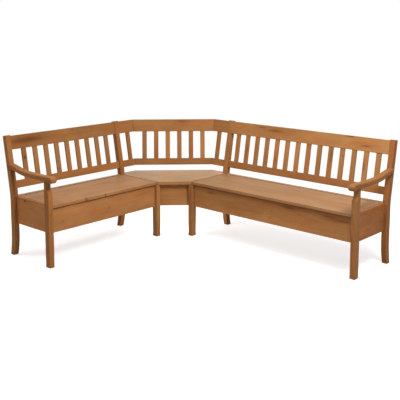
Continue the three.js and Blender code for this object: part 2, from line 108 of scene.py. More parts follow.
# Lamps: place, aim and side of each square lamp, and whether it shows in reflections
LAMPS = {
    "right": ((2.4, -0.5, 3.6), (0.1, 0.1, 0.35), 1.3, True),
    "left": ((-1.8, -2.4, 3.6), (0.0, 0.2, 0.4), 1.3, True),
    "side": ((-4.0, -2.8, 2.4), (0.0, 0.2, 0.4), 2.4, True),
    "top": ((0.0, 0.0, 4.2), (0.0, 0.1, 0.0), 3.6, True),
    "near": ((0.8, -0.5, 2.8), (0.6, 0.6, 0.5), 1.6, True),
    "rear": ((-1.8, 2.6, 1.6), (0.0, 0.3, 0.4), 2.4, False),
    "low": ((-0.6, 0.37, 0.24), (-1.0, 0.77, 0.1), 0.4, False),
}

# Shader nodes: columns in the node editor and the room of each node
NODE_COLUMNS = 12
NODE_ROOM = (180, 220)

# Noises in the pine: how often each varies along the grain and across it, in a metre
BEND, RIPPLE, FIBRE, CLOUD, DRIFT = (1.3, 7.0), (5.0, 60.0), (9.0, 650.0), (4.2, 13.0), (5.0, 12.0)
UNEVEN = 90.0              # how often the width of the growth rings varies, in a metre of growth
OWN_LOOK, DRIFT_PLACE = 7.5, 9.0    # depths at which a board's own look and its drift are read

# Growth rings, whose pith lies beside or below each stave
LOG_LENGTH = 31.0          # length of log that the staves of a board come from
PITH_SPREAD = 0.085        # how far the pith may lie to either side of a stave's middle, in all
PITH_DEPTH = 0.06          # how much deeper the pith may lie than its least depth
PITH_LEAST = 0.018
PITH_SLOPE = 0.011         # how much the pith rises along a stave
WOBBLE = 0.034             # how far the growth rings wander
YEARS = {"ripple": 0.9, "uneven": 2.2}    # years that the two noises may add
LATE_RISE = 2.4            # power by which late wood darkens through its year
LATE_END = (1.0, 0.93)     # part of a year in which late wood ends
RING_LEAST = 0.45          # strength of the faintest growth ring
UNSPLIT = 10.0             # stave width of a board that isn't glued up
JOINT_LINE = (0.9 * MM, 0.2 * MM)    # distance from a glue joint at which it starts and is full

# Knots: pairs are for a disc and for a long streak, or for where something starts and is full
PIN_CELLS = (3.4, 9.0)     # places for pin knots, in a metre along the grain and across it
PIN_CHANCE, PIN_SIZE = 0.84, 0.032    # share of places that stay empty, and size by what is left
KNOT_LEAST = 0.8 * MM
KNOT_SQUEEZE = (0.84, 0.17)    # distance along the grain counts as this share of it
KNOT_RIM, KNOT_HEART = (1.1, 1.5), (0.75, 0.2)    # where a knot starts and is full, in its radii
BARK_INSIDE, BARK_OUTSIDE = (0.72, 0.95), (1.28, 1.0)    # the same for its bark, seen from each side
KNOT_PULL = (4.2, 2.0)     # reach of the grain that a knot bends, along and across, in its radii
KNOT_SHIFT = 0.92          # how far that grain is bent, of its distance from the knot's middle
KNOT_RAGGED = 60.0         # how often the rim of a knot varies, in a metre
KNOT_RAGS = (0.7, 0.6)     # least distance by which that counts, and how much may be added
KNOT_YEARS = 520.0         # growth rings of a knot, in a metre
BARK_SHADE = 0.55          # lightness of the bark, of the knot's wood
HALO_FADE = 0.22           # how soon the dark wood round a knot fades

# What makes the wood lighter, redder, rougher and higher, and by how much. The darker end grain is
# partly the stain that it soaks up and partly painted shade for the gaps at the boards' ends
LIGHT = {"stave": 0.08, "own": 0.18, "cloud": 0.55, "fibre": 0.16, "worn": 0.05, "end": -0.45,
         "joint": -0.16}
RED = {"own_red": 0.7, "drift": 2.6}
ROUGH_BASE = 0.42
ROUGH = {"early": 0.10, "fibre": 0.14, "end": 0.16, "worn": -0.04}
HEIGHT = {"late": 0.5, "fibre": 0.30, "bark": -0.5, "joint": -0.9, "disc": 0.2}

# How much of the darker colours shows in late wood, round knots, in heartwood, knots and bark
SHOWN = {"late": 0.95, "halo": 0.30, "heart": 0.26, "disc": 0.35, "knot_year": 0.25, "bark": 0.75}
HEART_EDGE = (0.5, 0.68)   # values of the bend noise at which heartwood starts and is full
REDDEN = (0.03, -0.13, -0.24)    # change of red, green and blue in wood that is one step redder
WEAR_AND_SHEEN_EDGE = (-2.5 * MM, -0.8 * MM)    # height from a seat's top at which it turns paler: partly wear, partly painted sheen
LID_END_PAINTED_SHADE = 1.7        # extra darkening of the lids' end grain, of that in other boards: painted shade for the dark gaps at their ends
PINE_BUMP = (0.35, 0.4 * MM)    # strength and height of the bumps

# Brass: how often its patches and its lines vary across and up, in a metre, and their detail
BRASS_PATCHES, BRASS_LINES = (40.0, 90.0, 4.0), (30.0, 4000.0, 1.0)
BRASS_STEP = (0.35, 0.7)   # values of the patches between which the brass turns bright
BRASS_ROUGH_BASE = 0.38
BRASS_ROUGH = {"patches": 0.16, "lines": 0.08}
BRASS_BUMP = (0.2, 0.1 * MM)

# Knots that show in the picture: along the board, across it and radius, from its low corner. A negative
# radius is that of a knot sawn lengthwise, which shows as a long streak.
NO_KNOT = (0.0, 0.0, 0.0)
KNOTS = {
    "short_top_rail": [(0.90, 0.060, -0.024), (0.456, 0.090, 0.004)],
    "long_top_rail": [(0.460, 0.070, -0.014), (1.168, 0.100, -0.007), (1.322, 0.041, -0.006),
                      (0.330, 0.085, -0.006)],
    "corner_top_rail_middle": [(0.424, 0.090, -0.006)],
    "short_slat_9": [(0.166, 0.022, 0.009)],
    "long_slat_comb_1": [(0.068, 0.4355, -0.006), (0.114, 0.1315, -0.005)],
    "long_slat_comb_2": [(0.180, 0.2353, -0.009), (0.127, 0.528, -0.006)],
    "short_end_panel": [(0.108, 0.192, 0.008)],
    "short_front_panel": [(0.488, 0.083, 0.004)],
    "long_front_panel": [(1.415, 0.140, -0.011), (1.310, 0.152, -0.008), (0.190, 0.144, -0.007),
                         (0.950, 0.158, -0.010)],
    "short_lid": [(0.742, 0.424, 0.006), (0.554, 0.424, 0.005), (0.800, 0.245, -0.006),
                  (0.330, 0.140, -0.006)],
    "long_lid": [(0.837, 0.117, -0.006), (1.325, 0.223, -0.007)],
}
KNOT_LABELS = [f"Knot {index}" for index in (1, 2, 3, 4)]
BOARD_LABELS = ("Board", "Log", "Tone", "Rim", *KNOT_LABELS)

# Boards that differ from the others of their kind: how light they are, how much redder, and how much
# they darken across, for each metre. Part of this is each board's own tone and part is painted light and
# shade that evens out how the lamps fall on the board; the long front panel darkens towards its top
PLAIN_TONE = (1.0, 0.0, 0.0)
TONES_AND_SHADE = {
    "long_lid": (0.88, -0.3, 0.0), "short_lid": (0.99, -0.1, 0.0),
    "corner_seat": (1.06, -0.1, 0.0), "corner_apron": (1.12, 0.0, 0.0),
    "long_top_rail": (1.04, -0.2, 0.0), "corner_top_rail_middle": (0.94, 0.0, 0.0),
    "long_lower_rail": (0.92, 0.0, 0.0), "corner_lower_rail_middle": (0.78, 0.0, 0.0),
    "long_front_panel": (1.06, -0.1, 1.7), "short_front_panel": (1.08, 0.0, 0.0),
    "long_end_panel": (0.98, 1.1, 0.0), "short_end_panel": (1.32, 0.6, 0.0),
    "long_armrest": (0.79, 0.5, 0.0), "short_armrest": (0.88, 0.2, 0.0),
    "long_arm_leg": (0.82, 0.3, 0.0), "short_arm_leg": (0.88, 0.3, 0.0),
    "long_end_post": (0.82, 0.7, 0.0), "short_end_post": (1.15, 0.3, 0.0),
    "long_inner_leg": (0.88, 0.0, 0.0), "short_inner_leg": (1.06, 0.0, 0.0),
    "long_inner_post": (0.92, 0.2, 0.0), "short_inner_post": (0.86, 0.2, 0.0),
}


# Properties

def number(name, description, default, **settings):
    """Number property."""
    return bpy.props.FloatProperty(name=name, description=description, default=default, **settings)


def mm(name, description, millimetres):
    """Length property, given in millimetres and kept in metres."""
    return number(name, description, millimetres * MM, min=0.0, unit="LENGTH", precision=4)


def turn(name, description, degrees):
    """Angle property, given in degrees."""
    return number(name, description, math.radians(degrees), unit="ROTATION")


def power(name, description, watts):
    """Power of a lamp."""
    return number(name, description, watts, min=0.0, unit="POWER")


def share(name, description, default):
    """Share or strength, between 0 and 1."""
    return number(name, description, default, min=0.0, max=1.0, subtype="FACTOR")


def linear(level):
    """Linear value of a screen level from 0 to 255."""
    value = level / 255
    return value / 12.92 if value <= 0.04045 else ((value + 0.055) / 1.055) ** 2.4


def colour(name, description, *levels):
    """Colour property, given in screen levels from 0 to 255."""
    return bpy.props.FloatVectorProperty(
        name=name, description=description, subtype="COLOR", size=3, min=0.0, max=1.0,
        default=tuple(linear(level) for level in levels))


class BenchSizes(bpy.types.PropertyGroup):
    """Sizes of the bench as a whole and of its leg frames."""

    long_length: mm("Long side", "Wall corner to the long bench's outer leg faces", 2240)
    short_length: mm("Short side", "Wall corner to the short bench's outer leg faces", 1780)
    corner_reach: mm("Corner reach", "Wall corner to the inner leg frames", 652)
    bend_reach: mm("Bend reach", "Wall corner to the bends of the corner unit", 493)
    front_reach: mm("Depth", "Wall plane to the fronts of the legs", 487)
    seat_height: mm("Seat height", "Top of the lids", 465)
    box_bottom: mm("Box bottom", "Lower edge of the panels and the apron", 254)
    arm_height: mm("Arm height", "Flat top of the armrests", 683)
    leg_width: mm("Leg width", "Width of the legs along the bench", 42)
    front_leg_depth: mm("Front leg depth", "Depth of the front legs", 50)
    post_depth: mm("Post depth", "Depth of the rear posts below the seat", 48)
    post_top_depth: mm("Post top depth", "Depth of the rear posts at their tops", 41)
    post_rise: mm("Post rise", "Length of the posts along the rake", 455)
    rake_angle: turn("Rake", "Lean of the back", 9.5)
    rake_start: mm("Rake start", "Height above the seat where the posts lean back", 7)
    rake_blend: mm("Rake blend", "Length of the curve on each side of that bend", 46)
    foot_sweep_height: mm("Foot sweep height", "Where a rear foot starts to sweep back", 170)
    foot_sweep: mm("Foot sweep", "How far a rear foot sweeps back", 20)
    foot_depth: mm("Foot depth", "Depth of a rear foot at the floor", 42)
    foot_chamfer: mm("Foot chamfer", "Round at the foot of each leg", 4)
    neck_setback: mm("Neck setback", "Neck under the armrest behind the leg's front", 21)
    neck_length: mm("Neck length", "Straight neck under the armrest", 48)
    scoop_length: mm("Scoop length", "Curve from the full leg to the neck", 48)
    fit_gap: mm("Fit gap", "Gap between pieces that touch", 0.3)


class ArmSizes(bpy.types.PropertyGroup):
    """Sizes of the armrests."""

    thickness: mm("Thickness", "Thickness of the flat part", 39)
    overhang: mm("Overhang", "Armrest beyond the outer face of the legs", 9)
    nose: mm("Nose", "Nose ahead of the front legs", 58)
    nose_drop: mm("Nose drop", "Pull of the nose's curve below the underside", 10)
    nose_swell: mm("Nose swell", "Lift of the curve over the nose", 8)
    rise: mm("Rise", "Rise from the flat part to the post", 37)
    flat_reach: mm("Flat reach", "Wall plane to where the rise starts", 275)
    heel: mm("Heel", "Wall side of the post left free by the heel", 21)
    edge_round: mm("Edge round", "Radius along the edges", 10)
    nose_round: mm("Nose round", "Radius of the nose seen from above", 9)


class BackSizes(bpy.types.PropertyGroup):
    """Sizes of the rails and slats, along the rake."""

    rail_thickness: mm("Rail thickness", "Thickness of the back rails", 22)
    rail_inset: mm("Rail inset", "Rails ahead of the rear faces of the posts", 17)
    post_proud: mm("Post proud", "Posts above the top rails", 6)
    top_rail_height: mm("Top rail", "Height of the top rails", 107)
    lower_rail_height: mm("Lower rail", "Height of the lower rails", 58)
    lower_rail_lift: mm("Lower rail lift", "Start of the rake to the lower rails", 45)
    slat_width: mm("Slat width", "Width of the slats", 40)
    slat_thickness: mm("Slat thickness", "Thickness of the slats", 15)
    slat_pitch: mm("Slat pitch", "Middle to middle of neighbouring slats", 103.3)
    side_slat: mm("Side slat", "Bend of the corner unit to the lone slat beside it", 57)
    comb_count: bpy.props.IntProperty(
        name="Combs", description="Groups of slats in the long bench", default=2, min=1)


class BoxSizes(bpy.types.PropertyGroup):
    """Sizes of the storage boxes, the lids, the corner seat and the hinges."""

    panel_thickness: mm("Panel thickness", "Thickness of the box panels", 18)
    panel_setback: mm("Panel setback", "Panels behind the outer faces of the legs", 24)
    floor_thickness: mm("Floor thickness", "Thickness of the box floors", 10)
    floor_raise: mm("Floor raise", "Box floors above the panels' lower edges", 12)
    seat_thickness: mm("Seat thickness", "Thickness of the lids", 25)
    seat_proud: mm("Seat proud", "Top of the corner seat above the lids", 3)
    seat_front: mm("Seat front", "Front edges of the seats behind the leg fronts", 9)
    seat_rear: mm("Seat rear", "Rear edges of the seats ahead of the wall plane", 3)
    seat_bearing: mm("Seat bearing", "Corner seat on the inner leg frames", 28)
    lid_end_gap: mm("Lid end gap", "Gap between a lid and the end frame", 4)
    lid_front_gap: mm("Lid front gap", "Gap between a front panel and its lid", 6)
    lid_joint_gap: mm("Lid joint gap", "Gap between a lid and the corner seat", 3.5)
    hinge_rail_depth: mm("Hinge rail depth", "Depth of the fixed rails behind the lids", 46)
    hinge_gap: mm("Hinge gap", "Gap between hinge rail and lid", 3)
    apron_thickness: mm("Apron thickness", "Thickness of the corner apron", 18)
    apron_bearing: mm("Apron bearing", "Apron front ahead of the inner legs' rear faces", 16)
    leaf_thickness: mm("Leaf thickness", "Thickness of the hinge leaves", 1)
    leaf_height: mm("Leaf height", "Height of the hinge leaves", 18)
    knuckle_radius: mm("Knuckle radius", "Outer radius of the knuckles", 2.5)
    knuckle_lift: mm("Knuckle lift", "Hinge pin above the seat surface", 1)
    knuckle_pitch: mm("Knuckle pitch", "Greatest length of a knuckle", 110)
    knuckle_gap: mm("Knuckle gap", "Gap between knuckles", 0.6)
    pin_radius: mm("Pin radius", "Radius of the hinge pin", 1)
    hinge_inset: mm("Hinge inset", "Ends of the hinge inside the lid", 12)


class PineFinish(bpy.types.PropertyGroup):
    """Stain and growth of the pine."""

    frame_early: colour("Frame, early wood", "Soft wood of legs, rails and panels", 162, 111, 65)
    frame_late: colour("Frame, late wood", "Ring lines of legs, rails and panels", 131, 79, 41)
    # The seat colours are those of the seats' tops: paler than the frame, partly from wear and partly as
    # painted sheen
    seat_early: colour("Seat, early wood", "Soft wood of the lids", 162, 118, 78)
    seat_late: colour("Seat, late wood", "Ring lines of the lids", 141, 93, 54)
    corner_early: colour("Corner seat, early wood", "Soft wood of the corner seat", 170, 136, 102)
    corner_late: colour("Corner seat, late wood", "Ring lines of the corner seat", 151, 109, 70)
    knot: colour("Knots", "Heart of the knots", 78, 39, 20)
    ring_width: mm("Ring width", "Mean width of the growth rings", 3.6)
    panel_stave: mm("Panel stave", "Width of the staves glued to the panels", 98)
    seat_stave: mm("Seat stave", "Width of the staves glued to the seats", 107)
    sheen: share("Sheen", "Specular level of the waxed surface", 0.06)
    seat_sheen: share("Seat sheen", "Specular level of the seats, polished by use", 0.22)


class BrassFinish(bpy.types.PropertyGroup):
    """Finish of the hinges."""

    bright: colour("Bright brass", "Brass where hands and motion polish it", 168, 132, 86)
    dull: colour("Dull brass", "Brass in the corners", 116, 88, 56)


class StageSettings(bpy.types.PropertyGroup):
    """Camera, lamps and floor of the studio."""

    camera_side: mm("Camera side", "Wall corner to the camera, along the long bench", 4712.36)
    camera_room: mm("Camera room", "Wall plane of the long bench to the camera", 4796.86)
    camera_height: mm("Camera height", "Height of the camera", 1785.10)
    camera_turn: turn("Camera turn", "Heading of the camera", 42.67)
    camera_pitch: turn("Camera pitch", "How far the camera looks down", 8.13)
    focal_share: number("Focal length", "Focal length in widths of the picture", 1.8130)
    shift_across: number("Shift across", "Camera shift in widths of the picture", 0.0101)
    shift_up: number("Shift up", "Camera shift in widths of the picture", -0.1875)
    right_power: power("Right lamp", "Power of the high lamp in front of the long bench", 144)
    left_power: power("Left lamp", "Power of the high lamp in front of the short bench", 50)
    side_power: power("Side lamp", "Power of the low wide lamp to the left", 18)
    top_power: power("Top lamp", "Power of the large lamp overhead", 12)
    near_power: power("Near lamp", "Power of the lamp over the long bench", 28)
    rear_power: power("Rear lamp", "Power of the wide lamp behind the backs", 34)
    low_power: power("Low lamp", "Power of the small lamp under the corner seat", 3)
    world_strength: number("World", "Strength of the light from all round", 0.12)
    floor: colour("Floor", "Colour of the floor", 206, 205, 203)


# Layout

def bezier(points, steps):
    """Points of a Bezier curve: the sum of its control points weighted by Bernstein polynomials."""
    control = np.array(points, float)
    order = len(control) - 1
    t = np.linspace(0.0, 1.0, steps + 1)[:, None]
    return sum(math.comb(order, k) * t ** k * (1 - t) ** (order - k) * control[k]
               for k in range(order + 1))


class Layout:
    """Lines of the bench that follow from its sizes, in metres. On each straight stretch, u runs along
    the bench, v from the wall plane to the room and z up.
    """

    def __init__(self, scene):
        self.s, self.arm = scene.bench_sizes, scene.bench_arms
        self.back, self.box = scene.bench_back, scene.bench_box
        s, back, box = self.s, self.back, self.box
        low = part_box("long_inner_leg")[0]
        self.corner = (low.x - s.corner_reach, low.y + s.front_reach)
        middle = (self.corner[0] + s.bend_reach / 2, self.corner[1] - s.bend_reach / 2)
        self.stretches = {
            "long": (self.corner, (1, 0), (0, -1)),
            "short": (self.corner, (0, -1), (1, 0)),
            "middle": (middle, (DIAGONAL, DIAGONAL), (DIAGONAL, -DIAGONAL)),
        }
        self.lengths = {"long": s.long_length, "short": s.short_length}
        self.rake_foot = s.seat_height + s.rake_start
        self.mitre_slope = math.tan(math.pi / 8)
        self.rail_front = back.rail_inset + back.rail_thickness
        self.rail_middle = (back.rail_inset + self.rail_front) / 2
        rail_high = s.post_rise - back.post_proud
        self.top_rail = (rail_high - back.top_rail_height, rail_high)
        self.lower_rail = (back.lower_rail_lift, back.lower_rail_lift + back.lower_rail_height)
        self.inner_face = s.corner_reach + s.leg_width
        self.front_leg_rear = s.front_reach - s.front_leg_depth
        self.under_seat = s.seat_height - box.seat_thickness
        self.seat_front = s.front_reach - box.seat_front
        self.hinge_rail_front = box.seat_rear + box.hinge_rail_depth
        self.lid_rear = self.hinge_rail_front + box.hinge_gap
        self.pin_v = (self.hinge_rail_front + self.lid_rear) / 2
        self.pin_z = s.seat_height + box.knuckle_lift
        self.panel_front = s.front_reach - box.panel_setback
        self.arm_under = s.arm_height - self.arm.thickness

    def raked(self, out, up):
        """Side view point (v, z) of a point out from the rear plane and up along the rake."""
        cos, sin = math.cos(self.s.rake_angle), math.sin(self.s.rake_angle)
        return out * cos - up * sin, self.rake_foot + out * sin + up * cos

    def slat_middles(self, low, high):
        """Middles of the slats, centred between two ends."""
        pitch = self.back.slat_pitch
        count = int((high - low - self.back.slat_width) / pitch)
        return (low + high) / 2 + (np.arange(count) - (count - 1) / 2) * pitch

    def place(self, label, uvz):
        """Frame points of points (u, v, z): plan origin plus u and v times their directions."""
        origin, along, out = np.array(self.stretches[label], float)
        return np.hstack([origin + uvz[:, :1] * along + uvz[:, 1:2] * out, uvz[:, 2:]])

    def axes(self, label, order):
        """Place of a board whose a, b and c run along the named ones of u, v and z."""
        columns = [order.index(axis) for axis in "uvz"]
        return lambda board: self.place(label, board[:, columns])

    def raked_axes(self, label, order, slants=(0.0, 0.0)):
        """Place of a board in the leaning back, with a slant times v added to its ends along u."""
        columns = [order.index(axis) for axis in "uvz"]

        def place(board):
            u, out, up = board[:, columns].T
            v, z = self.raked(out, up)
            part = (u - u.min()) / (u.max() - u.min())
            u = u + v * (slants[0] * (1 - part) + slants[1] * part)
            return self.place(label, np.stack([u, v, z], axis=1))

        return place


# Lofts

class Loft:
    """Sections of a board, which has its own axes: a along the grain, b across it and c through its
    thickness. Each section runs from low to high in the plane of a and b, and from c_low to c_high.
    """

    def __init__(self, low, high, c_low, c_high, radius):
        self.low, self.high = np.array(low, float), np.array(high, float)
        count = len(self.low)
        self.c_low, self.c_high, self.radius, self.end, self.round = (
            np.full(count, value, float) for value in (c_low, c_high, radius, 0.0, 0.0))

    def across(self):
        """Unit vectors from low to high, and the distances."""
        span = self.high - self.low
        size = np.linalg.norm(span, axis=1)
        return span / size[:, None], size

    def ease_end(self, ease, last):
        """Rounds an end: a ring at angle t lies ease (1 - cos t) in, drawn in by ease (1 - sin t)."""
        order = slice(None, None, -1) if last else slice(None)
        low, high = self.low[order], self.high[order]
        unit = self.across()[0][order][0]
        angle = np.linspace(0.0, QUARTER, ARC_STEPS + 1)
        inwards, drawn = ease * (1 - np.cos(angle)), ease * (1 - np.sin(angle))
        step_low, step_high = low[1] - low[0], high[1] - high[0]
        inwards_low = inwards[:, None] * step_low / np.linalg.norm(step_low)
        inwards_high = inwards[:, None] * step_high / np.linalg.norm(step_high)
        radius = self.radius[order][0]
        rings = {
            "low": low[0] + inwards_low + drawn[:, None] * unit,
            "high": high[0] + inwards_high - drawn[:, None] * unit,
            "c_low": self.c_low[order][0] + drawn,
            "c_high": self.c_high[order][0] - drawn,
            "radius": np.maximum(radius - drawn, radius * RING_FLOOR_SHARE),
            "end": np.cos(angle),
            "round": np.sin(2 * angle),
        }
        for name, ring in rings.items():
            setattr(self, name, np.concatenate([ring, getattr(self, name)[order][1:]])[order])
        return self

    def shell(self):
        """Closed shell. A section is a rounded rectangle: corner centres plus radius (cos t, sin t)."""
        unit, size = self.across()
        thin = np.minimum(size, self.c_high - self.c_low)
        radius = np.minimum(self.radius, ROUND_LIMIT * thin)[:, None]
        angle = np.linspace(0.0, QUARTER, ARC_STEPS + 1)
        turned = (np.arange(4)[:, None] * QUARTER + angle).ravel()
        corner = np.repeat(np.arange(4), ARC_STEPS + 1)
        far, top = (corner == 0) | (corner == 3), corner < 2
        s = np.where(far, size[:, None] - radius, radius) + radius * np.cos(turned)
        c = np.where(top, self.c_high[:, None] - radius, self.c_low[:, None] + radius)
        c = c + radius * np.sin(turned)
        plane = self.low[:, None] + s[..., None] * unit[:, None]
        end = np.broadcast_to(self.end[:, None], s.shape)
        worn = np.maximum(np.sin(2 * np.tile(angle, 4)) * (1 - end), self.round[:, None])
        return Shell(np.concatenate([plane, c[..., None]], axis=2),
                     np.stack([worn, end, np.zeros(s.shape)], axis=2))


class Shell:
    """Closed surface of rings of points, with a face over the first ring and one over the last."""

    def __init__(self, rings, rim=None):
        count, self.sides = rings.shape[:2]
        k, j = np.meshgrid(np.arange(count - 1), np.arange(self.sides), indexing="ij")
        here, there = k * self.sides + j, k * self.sides + (j + 1) % self.sides
        quads = np.stack([here, there, there + self.sides, here + self.sides], axis=-1).reshape(-1, 4)
        last = (count - 1) * self.sides
        self.faces = quads.tolist() + [list(range(self.sides))[::-1],
                                       list(range(last, last + self.sides))]
        self.board = self.points = rings.reshape(-1, 3)
        self.rim = (np.zeros(rings.shape) if rim is None else rim).reshape(-1, 3)

    def put(self, to_frame):
        """Moves the shell to the frame, and turns its faces outwards: they point in where the first
        ring runs clockwise, seen from behind the way to the second ring.
        """
        self.points = to_frame(self.board)
        first, second = self.points[:self.sides], self.points[self.sides:2 * self.sides]
        spokes = first - first.mean(axis=0)
        area = np.cross(spokes, np.roll(spokes, -1, axis=0)).sum(axis=0)
        if area @ (second.mean(axis=0) - first.mean(axis=0)) < 0:
            self.faces = [face[::-1] for face in self.faces]
        return self


def straight(a, b, c, radius, ease_share=EASE_SHARE):
    """Straight board from a[0] to a[1], b[0] to b[1] and c[0] to c[1], with rounded edges and ends."""
    low, high = ([(end, side) for end in a] for side in b)
    ease = radius * ease_share
    return Loft(low, high, *c, radius).ease_end(ease, False).ease_end(ease, True).shell()


# Pieces

def body_of(node):
    """Body that carries a node."""
    bodies = frame["record"]["behaviour"]["bodies"]
    return next(body for body, nodes in bodies.items() if node in nodes)


def key_of(label):
    """Name of the attribute that an input of the pine reads."""
    return label.lower().replace(" ", "_")


def add_piece(node, slot, shells):
    """Object of one or more shells that stands for a node and rides on its body."""
    points, board, rim = (np.concatenate([getattr(shell, name) for shell in shells])
                          for name in ("points", "board", "rim"))
    starts = np.cumsum([0] + [len(shell.points) for shell in shells])
    faces = [[int(start) + index for index in face]
             for shell, start in zip(shells, starts) for face in shell.faces]
    mesh = bpy.data.meshes.new(f"{node}_finished")
    mesh.from_pydata(points, [], faces)
    mesh.shade_smooth()
    strip = np.repeat(np.arange(len(shells)) + 0.5, np.diff(starts))
    seed = np.full(len(board), sorted(frame["nodes"]).index(node) + 0.5)
    vectors = {"Board": board - board.min(axis=0), "Rim": rim,
               "Log": np.stack([seed, strip, np.zeros(len(board))], axis=1),
               "Tone": TONES_AND_SHADE.get(node, PLAIN_TONE), **dict.fromkeys(KNOT_LABELS, NO_KNOT),
               **dict(zip(KNOT_LABELS, KNOTS.get(node, [])))}
    for label, values in vectors.items():
        attribute = mesh.attributes.new(key_of(label), "FLOAT_VECTOR", "POINT")
        values = np.broadcast_to(values, board.shape).astype(np.float32)
        attribute.data.foreach_set("vector", values.ravel())
    mesh.materials.append(finish_named(slot))
    piece = bpy.data.objects.new(f"{node}_finished", mesh)
    bpy.context.scene.collection.objects.link(piece)
    piece.modifiers.new("Flat faces", "WEIGHTED_NORMAL").mode = "FACE_AREA"
    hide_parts(node)
    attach(piece, body_of(node))
    return piece


# Shader nodes

def node_operator(operation):
    """Operator methods that add a math node, for a value on the left and for one on the right."""
    return (lambda self, other: self.tree.math(operation, self, other),
            lambda self, other: self.tree.math(operation, other, self))


class Value:
    """Output of a node. In a formula, its operators add math nodes."""

    __add__, __radd__ = node_operator("ADD")
    __sub__, __rsub__ = node_operator("SUBTRACT")
    __mul__, __rmul__ = node_operator("MULTIPLY")
    __truediv__, __rtruediv__ = node_operator("DIVIDE")
    __pow__, __rpow__ = node_operator("POWER")

    def __init__(self, tree, socket):
        self.tree, self.socket = tree, socket


class Tree:
    """Adds nodes to a node tree, so that a material reads as formulas."""

    def __init__(self, tree):
        self.tree = tree

    def fill(self, sockets, values):
        """Links values to sockets, or sets the sockets, in their order or by name."""
        pairs = values.items() if isinstance(values, dict) else enumerate(values)
        for key, value in pairs:
            if isinstance(value, Value):
                self.tree.links.new(value.socket, sockets[key])
            else:
                sockets[key].default_value = value

    def node(self, kind, inputs=(), **settings):
        """New node with its settings and its inputs."""
        node = self.tree.nodes.new(kind)
        row, column = divmod(len(self.tree.nodes), NODE_COLUMNS)
        node.location = (column * NODE_ROOM[0], -row * NODE_ROOM[1])
        for name, value in settings.items():
            setattr(node, name, value)
        self.fill(node.inputs, inputs)
        return node

    def outputs(self, node):
        """Outputs of a node by name."""
        return {socket.name: Value(self, socket) for socket in node.outputs}

    def add(self, kind, inputs=(), output=0, **settings):
        """One output of a new node."""
        return Value(self, self.node(kind, inputs, **settings).outputs[output])

    def math(self, operation, *values):
        """Math node."""
        return self.add("ShaderNodeMath", values, operation=operation)

    def length(self, x, y):
        """Square root of x squared plus y squared."""
        return self.math("SQRT", x * x + y * y)

    def step(self, value, low, high):
        """Smooth step: 0 at low and 1 at high, which may lie below it."""
        return self.add("ShaderNodeMapRange", {"Value": value, "From Min": low, "From Max": high},
                        interpolation_type="SMOOTHSTEP")

    def vector(self, x, y, z):
        """Vector of three values."""
        return self.add("ShaderNodeCombineXYZ", (x, y, z))

    def split(self, vector):
        """Three values of a vector."""
        return list(self.outputs(self.node("ShaderNodeSeparateXYZ", (vector,))).values())

    def noise(self, vector, detail=2.0, output="Fac"):
        """Smooth noise at a point."""
        return self.add("ShaderNodeTexNoise", {"Vector": vector, "Scale": 1.0, "Detail": detail}, output)

    def random(self, vector, output="Value"):
        """Random value or colour for a point."""
        return self.add("ShaderNodeTexWhiteNoise", {"Vector": vector}, output)

    def mix(self, part, first, second):
        """Mix of two colours, with that part of the second."""
        return self.add("ShaderNodeMix", {0: part, 6: first, 7: second}, 2, data_type="RGBA")

    def scaled(self, shade, factor):
        """Colour times a value."""
        return self.add("ShaderNodeVectorMath", {0: shade, "Scale": factor}, operation="SCALE")

    def bump(self, height, strength, distance):
        """Normal of a surface with small heights."""
        return self.add("ShaderNodeBump", {"Height": height, "Strength": strength,
                                           "Distance": distance}, "Normal")


def new_group(name, inputs, outputs):
    """Shader group with named sockets: its tree, its inputs by name and the sockets of its outputs."""
    group = bpy.data.node_groups.new(name, "ShaderNodeTree")
    for side, kinds in (("INPUT", inputs), ("OUTPUT", outputs)):
        for kind, labels in kinds.items():
            for label in labels:
                group.interface.new_socket(label, in_out=side, socket_type=f"NodeSocket{kind}")
    t = Tree(group)
    entry, leave = (group.nodes.new(f"NodeGroup{side}") for side in ("Input", "Output"))
    return t, t.outputs(entry), leave.inputs


def weighted(start, weights, values):
    """Start plus the sum of values times their weights."""
    for name, weight in weights.items():
        start = start + values[name] * weight
    return start


def knot_group():
    """Knot of a board: its disc, the bark round it, the dark wood round that, how far it bends the
    grain aside, and how far away it is.
    """
    t, entry, leave = new_group("Pine knot", {"Vector": ("Board", "Knot")},
                                {"Float": ("Disc", "Bark", "Halo", "Shift", "Distance")})
    a, b, _ = t.split(entry["Board"])
    middle_a, middle_b, radius = t.split(entry["Knot"])
    streak = t.math("LESS_THAN", radius, 0.0)
    radius = t.math("ABSOLUTE", radius)
    exists = t.math("GREATER_THAN", radius, KNOT_LEAST)
    radius = t.math("MAXIMUM", radius, KNOT_LEAST)

    def shaped(disc, long):
        """Value for a knot that is a disc, or for one that is a long streak."""
        return disc + streak * (long - disc)

    off_a, off_b = (a - middle_a) * shaped(*KNOT_SQUEEZE), b - middle_b
    ragged = t.noise(t.vector(a * KNOT_RAGGED, b * KNOT_RAGGED, 0.0), 1.0)
    distance = t.length(off_a, off_b)
    ratio = distance / radius * (KNOT_RAGS[0] + ragged * KNOT_RAGS[1])
    far_a, far_b = off_a / (radius * KNOT_PULL[0]), off_b / (radius * KNOT_PULL[1])
    pull = t.math("EXPONENT", -1.0 * (far_a * far_a + far_b * far_b))
    t.fill(leave, {
        "Disc": exists * t.step(ratio, shaped(*KNOT_RIM), shaped(*KNOT_HEART)),
        "Bark": exists * (1.0 - streak) * t.step(ratio, *BARK_INSIDE) * t.step(ratio, *BARK_OUTSIDE),
        "Halo": exists * t.math("EXPONENT", ratio * ratio * -HALO_FADE),
        "Shift": exists * pull * off_b * KNOT_SHIFT,
        "Distance": distance,
    })
    return t.tree


